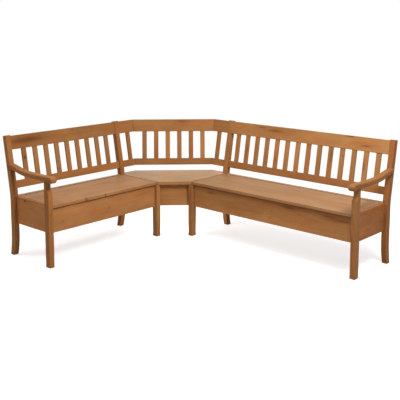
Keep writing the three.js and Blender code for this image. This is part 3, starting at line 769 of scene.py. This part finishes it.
def pine_group():
    """Sawn pine: growth rings round a pith beside the board, knots, fibres and glued staves."""
    t, entry, leave = new_group(
        "Sawn pine",
        {"Vector": BOARD_LABELS,
         "Color": ("Early wood", "Late wood", "Edge early wood", "Edge late wood", "Knot wood"),
         "Float": ("Ring width", "Stave width", "Rubbed above")},
        {"Color": ("Colour",), "Float": ("Roughness", "Height")})
    a, b, c = t.split(entry["Board"])
    seed, strip, _ = t.split(entry["Log"])
    board_light_and_shade, board_red, fade = t.split(entry["Tone"])
    worn, end, _ = t.split(entry["Rim"])
    own_light, own_red, _ = t.split(t.random(t.vector(seed, strip, OWN_LOOK), "Color"))

    width = entry["Stave width"]
    stave = t.math("FLOOR", b / width)
    first, second, third = t.split(t.random(t.vector(seed, strip, stave), "Color"))
    tone = t.random(t.vector(stave, seed, strip))
    inside = b - (stave + 0.5) * width

    cells = t.vector(a * PIN_CELLS[0], b * PIN_CELLS[1], seed + strip)
    cell = t.add("ShaderNodeTexVoronoi", {"Vector": cells, "Scale": 1.0}, "Position")
    cell_a, cell_b, _ = t.split(cell)
    size = t.math("MAXIMUM", t.random(cell) - PIN_CHANCE, 0.0) * PIN_SIZE
    places = [t.vector(cell_a / PIN_CELLS[0], cell_b / PIN_CELLS[1], size)]
    places += [entry[label] for label in KNOT_LABELS]
    knot = knot_group()
    knots = [t.outputs(t.node("ShaderNodeGroup", {"Board": entry["Board"], "Knot": place},
                              node_tree=knot)) for place in places]
    shift, disc, bark, halo = (sum((known[name] for known in knots[1:]), knots[0][name])
                               for name in ("Shift", "Disc", "Bark", "Halo"))
    disc, bark, halo = (t.math("MINIMUM", value, 1.0) for value in (disc, bark, halo))
    near = knots[0]["Distance"]
    for known in knots[1:]:
        near = t.math("MINIMUM", near, known["Distance"])

    away = first * LOG_LENGTH
    bend = t.noise(t.vector(a * BEND[0] + away, inside * BEND[1], c * BEND[1]), output="Color")
    bend_b, bend_c, streak = t.split(bend)
    pith_b = (second - 0.5) * PITH_SPREAD
    pith_c = third * -PITH_DEPTH - PITH_LEAST + a * PITH_SLOPE
    growth = t.length(inside - pith_b - shift + (bend_b - 0.5) * WOBBLE,
                      c - pith_c + (bend_c - 0.5) * WOBBLE)
    ripple = t.noise(t.vector(a * RIPPLE[0] + away, inside * RIPPLE[1], c * RIPPLE[1]))
    uneven = t.noise(t.vector(growth * UNEVEN, away, 0.0))
    years = weighted(growth / entry["Ring width"], YEARS, {"ripple": ripple, "uneven": uneven})
    year = t.math("FRACT", years)
    chance = t.random(t.vector(t.math("FLOOR", years), seed, stave))
    late = year ** LATE_RISE * t.step(year, *LATE_END) * (RING_LEAST + chance * (1.0 - RING_LEAST))

    fibre = t.noise(t.vector(a * FIBRE[0], b * FIBRE[1], c * FIBRE[1]))
    cloud = t.noise(t.vector(a * CLOUD[0] + seed, b * CLOUD[1], strip), 3.0)
    drift = t.noise(t.vector(a * DRIFT[0] + seed, b * DRIFT[1], strip + DRIFT_PLACE))
    knot_year = t.math("FRACT", near * KNOT_YEARS)
    joint = t.step(width * 0.5 - t.math("ABSOLUTE", inside), *JOINT_LINE)
    values = {"stave": tone - 0.5, "own": own_light - 0.5, "own_red": own_red - 0.5,
              "cloud": cloud - 0.5, "drift": drift - 0.5, "fibre": fibre - 0.5, "worn": worn,
              "end": end, "joint": joint, "early": 1.0 - late, "late": late, "bark": bark,
              "disc": disc}

    # Above this height a seat takes its paler top colours: partly wear, partly painted sheen
    wear_and_sheen = t.step(c - entry["Rubbed above"], *WEAR_AND_SHEEN_EDGE)
    early_wood = t.mix(wear_and_sheen, entry["Edge early wood"], entry["Early wood"])
    late_wood = t.mix(wear_and_sheen, entry["Edge late wood"], entry["Late wood"])
    shown = t.math("MINIMUM", late * SHOWN["late"] + halo * SHOWN["halo"], 1.0)
    wood = t.mix(shown, early_wood, late_wood)
    wood = t.mix(t.step(streak, *HEART_EDGE) * SHOWN["heart"], wood, late_wood)
    # A board's lightness and redness are partly its own tone and partly painted light and shade; fade
    # darkens it across, away from its low edge
    wood = t.scaled(wood, (weighted(1.0, LIGHT, values) - b * fade) * board_light_and_shade)
    red = weighted(board_red, RED, values)
    tint = t.vector(*(1.0 + red * change for change in REDDEN))
    wood = t.add("ShaderNodeVectorMath", (wood, tint), operation="MULTIPLY")
    wood = t.mix(disc * (SHOWN["disc"] + knot_year * SHOWN["knot_year"]), wood, entry["Knot wood"])
    wood = t.mix(bark * SHOWN["bark"], wood, t.scaled(entry["Knot wood"], BARK_SHADE))
    t.fill(leave, {"Colour": wood, "Roughness": weighted(ROUGH_BASE, ROUGH, values),
                   "Height": weighted(0.0, HEIGHT, values)})
    return t.tree


# Materials

def new_material(name):
    """Material, its tree and the sockets of its shader."""
    material = bpy.data.materials.new(name)
    material.use_nodes = True
    return material, Tree(material.node_tree), material.node_tree.nodes["Principled BSDF"].inputs


def pine(name, early, late, stave, sheen, rubbed_above):
    """Stained pine: the group gives colour, roughness and height, the lacquer is set on the shader. A
    seat is paler on top, partly from wear and partly as painted sheen, and its edges keep the colour of
    the frame.
    """
    finish = bpy.context.scene.bench_pine
    material, t, shader = new_material(name)
    inputs = {label: t.add("ShaderNodeAttribute", output="Vector", attribute_name=key_of(label))
              for label in BOARD_LABELS}
    colours = {"Early wood": early, "Late wood": late, "Edge early wood": finish.frame_early,
               "Edge late wood": finish.frame_late, "Knot wood": finish.knot}
    inputs.update({label: (*shade, 1.0) for label, shade in colours.items()})
    inputs.update({"Ring width": finish.ring_width, "Stave width": stave, "Rubbed above": rubbed_above})
    group = bpy.data.node_groups.get("Sawn pine") or pine_group()
    wood = t.outputs(t.node("ShaderNodeGroup", inputs, node_tree=group))
    t.fill(shader, {"Base Color": wood["Colour"], "Roughness": wood["Roughness"],
                    "Normal": t.bump(wood["Height"], *PINE_BUMP), "Specular IOR Level": sheen})
    return material


def brass(name):
    """Brass, duller in patches, with fine lines along the hinge."""
    finish = bpy.context.scene.bench_brass
    material, t, shader = new_material(name)
    x, y, z = t.split(t.add("ShaderNodeTexCoord", output="Object"))
    patches, lines = (t.noise(t.vector(x * across, y * across, z * up), detail)
                      for across, up, detail in (BRASS_PATCHES, BRASS_LINES))
    tint = t.mix(t.step(patches, *BRASS_STEP), (*finish.dull, 1.0), (*finish.bright, 1.0))
    rough = weighted(BRASS_ROUGH_BASE, BRASS_ROUGH, {"patches": patches, "lines": lines})
    t.fill(shader, {"Base Color": tint, "Roughness": rough, "Metallic": 1.0,
                    "Normal": t.bump(lines, *BRASS_BUMP)})
    return material


def finish_named(slot):
    """Material for one of the bench's slots, made the first time that it is needed."""
    name = f"finished_{slot}"
    known = bpy.data.materials.get(name)
    if known:
        return known
    if slot == "hinge_brass":
        return brass(name)
    pines, box = bpy.context.scene.bench_pine, bpy.context.scene.bench_box
    frame_wood, top = (pines.frame_early, pines.frame_late), box.seat_thickness
    seat = (pines.seat_stave, pines.seat_sheen)
    look = {
        "frame_pine": (*frame_wood, UNSPLIT, pines.sheen, 0.0),
        "slat_pine": (*frame_wood, UNSPLIT, pines.sheen, 0.0),
        "panel_pine": (*frame_wood, pines.panel_stave, pines.sheen, 0.0),
        "lid_pine": (pines.seat_early, pines.seat_late, *seat, top),
        "corner_pine": (pines.corner_early, pines.corner_late, *seat, top + box.seat_proud),
    }[slot]
    return pine(name, *look)


# Wooden forms

def front_leg_edges(layout, top):
    """Rear and front edges (z, v) of a front leg that stops below the seat."""
    return [[(0.0, v), (top, v)] for v in (layout.front_leg_rear, layout.s.front_reach)]


def arm_leg_edges(layout):
    """Rear and front edges (z, v) of a leg with a scooped neck, whose curve is a cubic Bezier."""
    s = layout.s
    top = layout.arm_under - s.fit_gap
    neck = s.front_reach - s.neck_setback
    scoop_top = top - s.neck_length
    middle = scoop_top - s.scoop_length / 2
    foot = scoop_top - s.scoop_length
    scoop = bezier([(foot, s.front_reach), (middle, s.front_reach), (middle, neck),
                    (scoop_top, neck)], SCOOP_STEPS)
    front = np.vstack([[(0.0, s.front_reach)], scoop, [(top, neck)]])
    rear = np.stack([front[:, 0], np.full(len(front), layout.front_leg_rear)], axis=1)
    return rear, front


def post_edges(layout):
    """Rear and front edges (z, v) of a post: swept foot, upright, bend and raked top."""
    s = layout.s
    half = s.foot_sweep_height / 2
    bend_foot = layout.rake_foot - s.rake_blend

    def edge(foot, upright, top):
        start = layout.raked(upright, s.rake_blend)
        sweep = bezier([(0.0, foot), (half, upright), (s.foot_sweep_height, upright)], SWEEP_STEPS)
        bend = bezier([(bend_foot, upright), (layout.rake_foot, upright), start[::-1]], BEND_STEPS)
        return np.vstack([sweep, bend, [layout.raked(top, s.post_rise)[::-1]]])

    return (edge(-s.foot_sweep, 0.0, 0.0),
            edge(s.foot_depth - s.foot_sweep, s.post_depth, s.post_top_depth))


def cut_at(points, start, direction, keep_after):
    """Part of a line of points on one side of a cut through start, with the crossing point added."""
    normal = np.array([-direction[1], direction[0]])
    side = (points - start) @ normal
    crossing = np.nonzero(np.sign(side[1:]) != np.sign(side[:-1]))[0][0]
    part = side[crossing] / (side[crossing] - side[crossing + 1])
    meet = points[crossing] + part * (points[crossing + 1] - points[crossing])
    if keep_after:
        return np.vstack([[meet], points[crossing + 1:]])
    return np.vstack([points[:crossing + 1], [meet]])


def resampled(points, count):
    """The same line of points at even steps along its length."""
    run = np.concatenate([[0.0], np.cumsum(np.linalg.norm(np.diff(points, axis=0), axis=1))])
    at = np.linspace(0.0, run[-1], count)
    return np.stack([np.interp(at, run, points[:, k]) for k in (0, 1)], axis=1)


def armrest_shell(layout, length):
    """S-shaped armrest: Bezier edges, matched before and behind the post's front face, where the full
    width steps down to the heel that laps the post's outer face. The sides of the nose are circles,
    radius (1 - sqrt(1 - d^2)) inwards at d radii past their middles.
    """
    s, arm = layout.s, layout.arm
    top, under = s.arm_height, layout.arm_under
    nose_reach = s.front_reach + arm.nose
    nose_tip = top - arm.thickness * NOSE_TIP_SHARE

    def rise(flat):
        height = flat + arm.rise
        heel = arm.heel - (height - layout.rake_foot) * math.tan(s.rake_angle)
        bend = arm.flat_reach * RISE_REACH_SHARE
        return bezier([(heel, height), (bend, height - arm.rise / 2), (bend, flat),
                       (arm.flat_reach, flat)], RISE_STEPS)

    foot = np.array(layout.raked(s.post_depth, s.rake_blend))
    direction = np.array(layout.raked(s.post_top_depth, s.post_rise)) - foot
    start = foot + (s.fit_gap, 0.0)
    low_lap, high_lap = (resampled(cut_at(rise(flat), start, direction, False), LAP_RINGS)
                         for flat in (under, top))
    low_rise, high_rise = (resampled(cut_at(rise(flat), start, direction, True), RISE_RINGS)
                           for flat in (under, top))
    upper = bezier([(s.front_reach - s.neck_setback, top),
                    (s.front_reach + arm.nose / 2, top + arm.nose_swell),
                    (nose_reach, top), (nose_reach, nose_tip)], NOSE_STEPS)
    drop = under - arm.nose_drop
    lower = bezier([(s.front_reach, under), (nose_reach - arm.nose / 2, drop),
                    (nose_reach, drop), (nose_reach, nose_tip)], NOSE_STEPS)
    turned = np.sin(np.linspace(0.0, QUARTER, NOSE_RINGS + 1)) * NOSE_END_SHARE
    at = np.rint(turned * NOSE_STEPS).astype(int)
    low = np.vstack([low_lap, low_rise, lower[at]])
    high = np.vstack([high_lap, high_rise, upper[at]])
    lap = np.arange(len(low)) < LAP_RINGS
    inner = np.where(lap, length + s.fit_gap, length - s.leg_width)
    middle = (low[:, 0] + high[:, 0]) / 2
    past = (middle - nose_reach + arm.nose_round).clip(0) / arm.nose_round
    nose_in = arm.nose_round * (1 - np.sqrt(np.clip(1 - past ** 2, 0, 1)))
    loft = Loft(low, high, inner + nose_in, length + arm.overhang - nose_in,
                np.where(lap, LEG_ROUND, arm.edge_round))
    return loft.ease_end(LEG_ROUND * EASE_SHARE, False).shell()


def rounded_outline(points, radius, inset):
    """Outline drawn in by inset, its corners arcs about fixed centres: centre minus radius times the
    normal, which turns from one edge to the next. Hollow corners curve the other way.
    """
    before, after = points - np.roll(points, 1, axis=0), np.roll(points, -1, axis=0) - points
    normals = []
    for edge in (before, after):
        unit = edge / np.linalg.norm(edge, axis=1)[:, None]
        normals.append(np.stack([-unit[:, 1], unit[:, 0]], axis=1))
    first, second = normals
    hollow = np.sign(first[:, 0] * second[:, 1] - first[:, 1] * second[:, 0])
    spread = 1 + (first * second).sum(axis=1)
    centre = points + (hollow * radius / spread)[:, None] * (first + second)
    start = np.arctan2(first[:, 1], first[:, 0])
    swing = np.arctan2(second[:, 1], second[:, 0]) - start
    swing = (swing + math.pi) % (2 * math.pi) - math.pi
    angle = start[:, None] + swing[:, None] * np.linspace(0.0, 1.0, ARC_STEPS + 1)
    reach = (hollow * (radius - hollow * inset))[:, None]
    return np.stack([centre[:, :1] - reach * np.cos(angle),
                     centre[:, 1:] - reach * np.sin(angle)], axis=2).reshape(-1, 2)


def slab(points, c_low, c_high, radius, ease):
    """Slab of an outline: at angle t its rims lie ease (1 - cos t) in, drawn in by ease (1 - sin t)."""
    points = np.array(points, float)
    following = np.roll(points, -1, axis=0)
    if (points[:, 0] * following[:, 1] - points[:, 1] * following[:, 0]).sum() < 0:
        points = points[::-1]
    angle = np.linspace(0.0, QUARTER, ARC_STEPS + 1)
    drawn, inwards = ease * (1 - np.sin(angle)), ease * (1 - np.cos(angle))
    levels = np.concatenate([c_low + inwards, (c_high - inwards)[::-1]])
    insets = np.concatenate([drawn, drawn[::-1]])
    outlines = [rounded_outline(points, radius, inset) for inset in insets]
    rings = np.stack([np.column_stack([outline, np.full(len(outline), level)])
                      for outline, level in zip(outlines, levels)])
    rim = np.zeros(rings.shape)
    rim[..., 0] = np.sin(2 * np.concatenate([angle, angle[::-1]]))[:, None]
    return Shell(rings, rim)


# Hinge forms, in u, z and v of a stretch

def prism(u0, u1, z, v):
    """Outline of points (z, v) carried along u."""
    return Shell(np.stack([np.column_stack([np.full(len(z), u), z, v]) for u in (u0, u1)]))


def rod_shell(u0, u1, z, v, radius):
    """Round rod along u: a circle carried from one end to the other."""
    angle = np.linspace(0.0, 2 * math.pi, ROUND_SIDES, endpoint=False)
    return prism(u0, u1, z + radius * np.cos(angle), v + radius * np.sin(angle))


def knuckle_shell(layout, u0, u1, leaf_side):
    """Rolled knuckle: the leaf's strip rises and curls round the pin, as arcs of its two radii."""
    box = layout.box
    outer, inner = box.knuckle_radius, box.knuckle_radius - box.leaf_thickness
    near = layout.hinge_rail_front + layout.s.fit_gap - layout.pin_v
    far = near + box.leaf_thickness
    strip_low = -box.knuckle_radius - box.knuckle_gap
    start = 2 * math.pi - math.acos(near / outer)
    inner_start = 2 * math.pi - math.acos(max(far / inner, -1.0))
    curl = np.linspace(start, -CURL_END, CURL_STEPS)
    back = np.linspace(-CURL_END, inner_start, CURL_STEPS)
    outline = np.concatenate([
        [(near, strip_low)],
        np.stack([outer * np.cos(curl), outer * np.sin(curl)], axis=1),
        np.stack([inner * np.cos(back), inner * np.sin(back)], axis=1),
        [(far, strip_low)]])
    return prism(u0, u1, layout.pin_z + outline[:, 1], layout.pin_v + leaf_side * outline[:, 0])


def screw_shells(u, z, face, out):
    """Screw head flush in the leaf: two halves of a disc beside the slot."""
    halves = []
    for way in (-1, 1):
        angle = np.linspace(-math.acos(SLOT_SHARE), math.acos(SLOT_SHARE), SCREW_STEPS)
        halves.append(Shell(np.stack([
            np.column_stack([u + SCREW_RADIUS * np.sin(angle) * size,
                             z + way * SCREW_RADIUS * np.cos(angle) * size,
                             np.full(SCREW_STEPS, face + out * lift)])
            for size, lift in ((1.0, 0.0), (1.0, SCREW_PROUD / 2), (SCREW_TOP_SHARE, SCREW_PROUD))])))
    return halves


def hinge_leaf(layout, length, fixed):
    """Shells of a leaf: its plate, every second knuckle, its screws and, in the fixed leaf, the pin."""
    s, box = layout.s, layout.box
    u0 = s.corner_reach + box.seat_bearing + s.fit_gap + box.hinge_inset + s.leg_width
    u1 = length - s.leg_width - box.lid_end_gap - box.hinge_inset
    count = 2 * int((u1 - u0) / box.knuckle_pitch / 2) + 1
    step = (u1 - u0) / count
    half = (step - box.knuckle_gap) / 2
    middles = u0 + step / 2 + step * np.arange(count)
    side, first = (1, 0) if fixed else (-1, 1)
    near = layout.hinge_rail_front + s.fit_gap if fixed else layout.lid_rear - s.fit_gap
    face = near + side * box.leaf_thickness
    top = layout.pin_z - box.knuckle_radius - box.knuckle_gap
    shells = [straight((u0, u1), (top - box.leaf_height, top), sorted((near, face)), LEAF_ROUND)]
    shells += [knuckle_shell(layout, m - half, m + half, side) for m in middles[first::2]]
    for m in middles:
        shells += screw_shells(m, top - box.leaf_height / 2, face, side)
    if fixed:
        shells.append(rod_shell(u0 + box.knuckle_gap, u1 - box.knuckle_gap, layout.pin_z,
                                layout.pin_v, box.pin_radius))
    return shells


# Operators

class BENCH_OT_legs(bpy.types.Operator):
    """Finish the front legs and the posts."""

    bl_idname = "bench.legs"
    bl_label = "Legs and posts"

    def execute(self, context):
        layout = Layout(context.scene)
        s = layout.s
        inner = (s.corner_reach, layout.inner_face)
        inner_leg = front_leg_edges(layout, layout.under_seat - s.fit_gap)
        for label, length in layout.lengths.items():
            outer = (length - s.leg_width, length)
            legs = {
                "arm_leg": (arm_leg_edges(layout), outer),
                "end_post": (post_edges(layout), outer),
                "inner_leg": (inner_leg, inner),
                "inner_post": (post_edges(layout), inner),
            }
            for name, (edges, span) in legs.items():
                loft = Loft(*edges, *span, LEG_ROUND).ease_end(s.foot_chamfer * FOOT_SHARE, False)
                shell = loft.ease_end(LEG_ROUND * EASE_SHARE, True).shell()
                add_piece(f"{label}_{name}", "frame_pine", [shell.put(layout.axes(label, "zvu"))])
        return {"FINISHED"}


class BENCH_OT_armrests(bpy.types.Operator):
    """Finish the two armrests."""

    bl_idname = "bench.armrests"
    bl_label = "Armrests"

    def execute(self, context):
        layout = Layout(context.scene)
        for label, length in layout.lengths.items():
            shell = armrest_shell(layout, length).put(layout.axes(label, "vzu"))
            add_piece(f"{label}_armrest", "frame_pine", [shell])
        return {"FINISHED"}


class BENCH_OT_rails(bpy.types.Operator):
    """Finish the rails of the backs, mitred at the corner unit's bends."""

    bl_idname = "bench.rails"
    bl_label = "Back rails"

    def execute(self, context):
        layout = Layout(context.scene)
        s = layout.s
        gap, slope = s.fit_gap, layout.mitre_slope
        reach = s.bend_reach * DIAGONAL - gap
        thick = (layout.back.rail_inset, layout.rail_front)
        for rail, heights in (("top_rail", layout.top_rail), ("lower_rail", layout.lower_rail)):
            rails = {f"corner_{rail}_middle": ("middle", (-reach, reach), (slope, -slope))}
            for label, length in layout.lengths.items():
                span = (layout.inner_face + gap, length - s.leg_width - gap)
                rails[f"{label}_{rail}"] = (label, span, (0, 0))
                span = (s.bend_reach + gap, s.corner_reach - gap)
                rails[f"corner_{rail}_{label}"] = (label, span, (slope, 0))
            for node, (label, span, slants) in rails.items():
                shell = straight(span, heights, thick, BOARD_ROUND)
                add_piece(node, "frame_pine", [shell.put(layout.raked_axes(label, "uzv", slants))])
        return {"FINISHED"}


class BENCH_OT_slats(bpy.types.Operator):
    """Finish the slats of the backs."""

    bl_idname = "bench.slats"
    bl_label = "Slats"

    def execute(self, context):
        layout = Layout(context.scene)
        s, back = layout.s, layout.back
        reach = s.bend_reach * DIAGONAL
        slats = {f"corner_slat_middle_{index + 1}": ("middle", [u])
                 for index, u in enumerate(layout.slat_middles(-reach, reach))}
        for label, length in layout.lengths.items():
            slats[f"corner_slat_{label}"] = (label, [s.bend_reach + back.side_slat])
            middles = layout.slat_middles(layout.inner_face, length - s.leg_width)
            if label == "long":
                name, groups = "slat_comb", np.array_split(middles, back.comb_count)
            else:
                name, groups = "slat", middles[:, None]
            slats.update({f"{label}_{name}_{index + 1}": (label, group)
                          for index, group in enumerate(groups)})
        half, thin = back.slat_width / 2, back.slat_thickness / 2
        heights = (layout.lower_rail[1] + s.fit_gap, layout.top_rail[0] - s.fit_gap)
        depths = (layout.rail_middle - thin, layout.rail_middle + thin)
        for node, (label, group) in slats.items():
            place = layout.raked_axes(label, "zuv")
            shells = [straight(heights, (u - half, u + half), depths, SLAT_ROUND,
                               SLAT_EASE_SHARE).put(place) for u in group]
            add_piece(node, "slat_pine", shells)
        return {"FINISHED"}


class BENCH_OT_boxes(bpy.types.Operator):
    """Finish the panels of the storage boxes and the corner apron."""

    bl_idname = "bench.boxes"
    bl_label = "Storage boxes"

    def execute(self, context):
        layout = Layout(context.scene)
        s, box = layout.s, layout.box
        gap, thick = s.fit_gap, box.panel_thickness
        back_rear, front = box.panel_setback / 2, layout.panel_front
        panel_top = layout.under_seat - gap
        depths = (s.post_depth + gap, layout.front_leg_rear - gap)
        low = box.floor_raise + s.box_bottom
        for label, length in layout.lengths.items():
            ends = (layout.inner_face, length - s.leg_width)
            span = (ends[0] + gap, ends[1] - gap)
            panels = {
                "front_panel": ("uzv", span, (s.box_bottom, layout.under_seat - box.lid_front_gap),
                                (front - thick, front)),
                "back_panel": ("uzv", span, (s.box_bottom, panel_top),
                               (back_rear, back_rear + thick)),
                "end_panel": ("vzu", depths, (s.box_bottom, s.seat_height),
                              (ends[1], ends[1] + thick)),
                "inner_panel": ("vzu", depths, (s.box_bottom, panel_top),
                                (ends[0] - thick, ends[0])),
                "floor_panel": ("uvz", span, (back_rear + thick + gap, front - thick - gap),
                                (low, low + box.floor_thickness)),
            }
            for name, (order, *spans) in panels.items():
                shell = straight(*spans, PANEL_ROUND).put(layout.axes(label, order))
                add_piece(f"{label}_{name}", "panel_pine", [shell])
        add_piece("corner_apron", "panel_pine", [self.apron(layout)])
        return {"FINISHED"}

    @staticmethod
    def apron(layout):
        """Diagonal board whose slanted ends lie on the inner legs' side faces."""
        s, box = layout.s, layout.box
        face = s.corner_reach - s.fit_gap
        front = s.corner_reach + layout.front_leg_rear + box.apron_bearing
        rear = front - box.apron_thickness / DIAGONAL
        half = [((2 * face - reach) * DIAGONAL, (reach - s.bend_reach) * DIAGONAL)
                for reach in (front, rear)]
        outline = half + [(-a, out) for a, out in half[::-1]]
        shell = slab(outline, s.box_bottom, layout.under_seat - s.fit_gap, APRON_ROUND, PANEL_ROUND)
        shell.put(layout.axes("middle", "uvz"))
        shell.board = shell.board[:, [0, 2, 1]]
        return shell


class BENCH_OT_seats(bpy.types.Operator):
    """Finish the lids, the rails behind them and the corner seat."""

    bl_idname = "bench.seats"
    bl_label = "Lids and corner seat"

    def execute(self, context):
        layout = Layout(context.scene)
        s, box = layout.s, layout.box
        gap = s.fit_gap
        heights = (layout.under_seat, s.seat_height)
        joint = s.corner_reach + box.seat_bearing
        for label, length in layout.lengths.items():
            place = layout.axes(label, "uvz")
            lid = straight((joint + box.lid_joint_gap - gap, length - s.leg_width - box.lid_end_gap),
                           (layout.lid_rear, layout.seat_front), heights, LID_ROUND)
            # Painted shade: the lids' end grain is darkened further for the dark gaps beside them
            lid.rim[:, 1] *= LID_END_PAINTED_SHADE
            add_piece(f"{label}_lid", "lid_pine", [lid.put(place)])
            rail = straight((layout.inner_face + gap, length - s.leg_width - gap),
                            (box.seat_rear, layout.hinge_rail_front), heights, BOARD_ROUND)
            add_piece(f"{label}_hinge_rail", "lid_pine", [rail.put(place)])
        seat = slab(self.seat_outline(layout, joint - gap), layout.under_seat,
                    s.seat_height + box.seat_proud, BOARD_ROUND, BOARD_ROUND * EASE_SHARE)
        add_piece("corner_seat", "corner_pine", [seat.put(layout.axes("middle", "uvz"))])
        return {"FINISHED"}

    @staticmethod
    def seat_outline(layout, joint):
        """Plan of the corner seat: diagonal front, notches round the inner posts, bent rear edge."""
        s, box = layout.s, layout.box
        bend = s.bend_reach + box.seat_rear * layout.mitre_slope
        notch, depth = s.corner_reach - s.fit_gap, s.post_depth + s.fit_gap
        side = np.array([(joint, layout.seat_front), (joint, depth), (notch, depth),
                         (notch, box.seat_rear), (bend, box.seat_rear)])
        half = np.column_stack([side[:, 0] - side[:, 1], side.sum(axis=1) - s.bend_reach]) * DIAGONAL
        return np.vstack([half, half[::-1] * (-1, 1)])


class BENCH_OT_hinges(bpy.types.Operator):
    """Finish the continuous brass hinges."""

    bl_idname = "bench.hinges"
    bl_label = "Hinges"

    def execute(self, context):
        layout = Layout(context.scene)
        for label, length in layout.lengths.items():
            place = layout.axes(label, "uzv")
            for name, fixed in (("hinge_fixed_leaf", True), ("hinge_lid_leaf", False)):
                shells = [shell.put(place) for shell in hinge_leaf(layout, length, fixed)]
                leaf = add_piece(f"{label}_{name}", "hinge_brass", shells)
                leaf.data.set_sharp_from_angle(angle=SHARP_ANGLE)
        return {"FINISHED"}


class BENCH_OT_stage(bpy.types.Operator):
    """Set up the floor, the lamps, the world and the camera."""

    bl_idname = "bench.stage"
    bl_label = "Stage"

    def execute(self, context):
        scene = context.scene
        settings = scene.bench_stage
        self.floor(scene, settings)
        self.world(scene, settings)
        for name, placing in LAMPS.items():
            self.lamp(scene, f"{name} lamp", getattr(settings, f"{name}_power"), *placing)
        self.camera(scene, settings)
        scene.view_settings.view_transform = "Standard"
        return {"FINISHED"}

    @staticmethod
    def floor(scene, settings):
        """Floor as one flat grid: diffuse, with light of its own for camera and mirror rays only."""
        side = np.linspace(-FLOOR_HALF, FLOOR_HALF, FLOOR_LINES)
        x, y = np.meshgrid(side, side, indexing="ij")
        points = np.stack([x, y, np.zeros(x.shape)], axis=-1).reshape(-1, 3)
        here = np.arange(FLOOR_LINES ** 2).reshape(x.shape)[:-1, :-1]
        corners = [here, here + FLOOR_LINES, here + FLOOR_LINES + 1, here + 1]
        mesh = bpy.data.meshes.new("floor")
        mesh.from_pydata(points, [], np.stack(corners, axis=-1).reshape(-1, 4).tolist())
        material = bpy.data.materials.new("floor")
        material.use_nodes = True
        tree = material.node_tree
        tree.nodes.remove(tree.nodes["Principled BSDF"])
        t = Tree(tree)
        diffuse = t.add("ShaderNodeBsdfDiffuse", {"Color": (*settings.floor, 1.0)})
        glow = t.add("ShaderNodeEmission", (WHITE, FLOOR_GLOW))
        both = t.add("ShaderNodeAddShader", (diffuse, glow))
        white = t.add("ShaderNodeEmission", (WHITE, 1.0))
        x, y, _ = t.split(t.add("ShaderNodeTexCoord", output="Object"))
        far = t.add("ShaderNodeMixShader", (t.step(t.length(x, y), *FLOOR_FADE), both, white))
        shown = t.add("ShaderNodeMixShader", (seen_ray(t), diffuse, far))
        t.fill(tree.nodes["Material Output"].inputs, {"Surface": shown})
        mesh.materials.append(material)
        floor = bpy.data.objects.new("floor", mesh)
        scene.collection.objects.link(floor)

    @staticmethod
    def world(scene, settings):
        """Even pale light from all round, plain white where the camera or a mirror sees it."""
        world = bpy.data.worlds.new("Studio")
        world.use_nodes = True
        scene.world = world
        tree = world.node_tree
        tree.nodes.remove(tree.nodes["Background"])
        t = Tree(tree)
        light, white = (t.add("ShaderNodeBackground", (WHITE, strength))
                        for strength in (settings.world_strength, 1.0))
        shown = t.add("ShaderNodeMixShader", (seen_ray(t), light, white))
        t.fill(tree.nodes["World Output"].inputs, {"Surface": shown})

    @staticmethod
    def lamp(scene, name, strength, place, aim, size, gleams):
        """Square area lamp that looks from its place to its aim."""
        data = bpy.data.lights.new(name, "AREA")
        data.energy, data.size = strength, size
        lamp = bpy.data.objects.new(name, data)
        lamp.location = place
        lamp.rotation_euler = (Vector(aim) - Vector(place)).to_track_quat("-Z", "Y").to_euler()
        lamp.visible_glossy = gleams
        lamp.visible_camera = False
        scene.collection.objects.link(lamp)

    @staticmethod
    def camera(scene, settings):
        """Camera at the picture's viewing angle."""
        corner = Layout(scene).corner
        data = bpy.data.cameras.new("Camera")
        data.sensor_width = SENSOR
        data.lens = settings.focal_share * SENSOR
        data.shift_x, data.shift_y = settings.shift_across, settings.shift_up
        camera = bpy.data.objects.new("Camera", data)
        camera.location = (corner[0] + settings.camera_side, corner[1] - settings.camera_room,
                           settings.camera_height)
        camera.rotation_euler = (QUARTER - settings.camera_pitch, 0.0, settings.camera_turn)
        scene.collection.objects.link(camera)
        scene.camera = camera


def seen_ray(t):
    """1 for rays that the camera, a mirror or glass sends out, 0 for rays that carry light."""
    path = t.outputs(t.node("ShaderNodeLightPath"))
    mirrored = t.math("MAXIMUM", path["Is Camera Ray"], path["Is Glossy Ray"])
    return t.math("MAXIMUM", mirrored, path["Is Transmission Ray"])


PIECE_STEPS = (BENCH_OT_legs, BENCH_OT_armrests, BENCH_OT_rails, BENCH_OT_slats, BENCH_OT_boxes,
               BENCH_OT_seats, BENCH_OT_hinges)
SETTINGS = {"bench_sizes": BenchSizes, "bench_arms": ArmSizes, "bench_back": BackSizes,
            "bench_box": BoxSizes, "bench_pine": PineFinish, "bench_brass": BrassFinish,
            "bench_stage": StageSettings}


class BENCH_PT_panel(bpy.types.Panel):
    """Lists the steps that finish the bench, and all its settings."""

    bl_idname = "BENCH_PT_panel"
    bl_label = "Corner bench"
    bl_space_type = "VIEW_3D"
    bl_region_type = "UI"
    bl_category = "Bench"

    def draw(self, context):
        for step in (*PIECE_STEPS, BENCH_OT_stage):
            self.layout.operator(step.bl_idname)
        for name in SETTINGS:
            group = getattr(context.scene, name)
            for prop in group.__annotations__:
                self.layout.prop(group, prop)


CLASSES = (*SETTINGS.values(), *PIECE_STEPS, BENCH_OT_stage, BENCH_PT_panel)


def register():
    """Registers the classes and the scene's settings."""
    for cls in CLASSES:
        bpy.utils.register_class(cls)
    for name, group in SETTINGS.items():
        setattr(bpy.types.Scene, name, bpy.props.PointerProperty(type=group))


def unregister():
    """Takes the settings and the classes away again."""
    for name in SETTINGS:
        delattr(bpy.types.Scene, name)
    for cls in reversed(CLASSES):
        bpy.utils.unregister_class(cls)


def main():
    register()
    for step in (*PIECE_STEPS, BENCH_OT_stage):
        group, name = step.bl_idname.split(".")
        getattr(getattr(bpy.ops, group), name)()


if __name__ == "__main__":
    main()
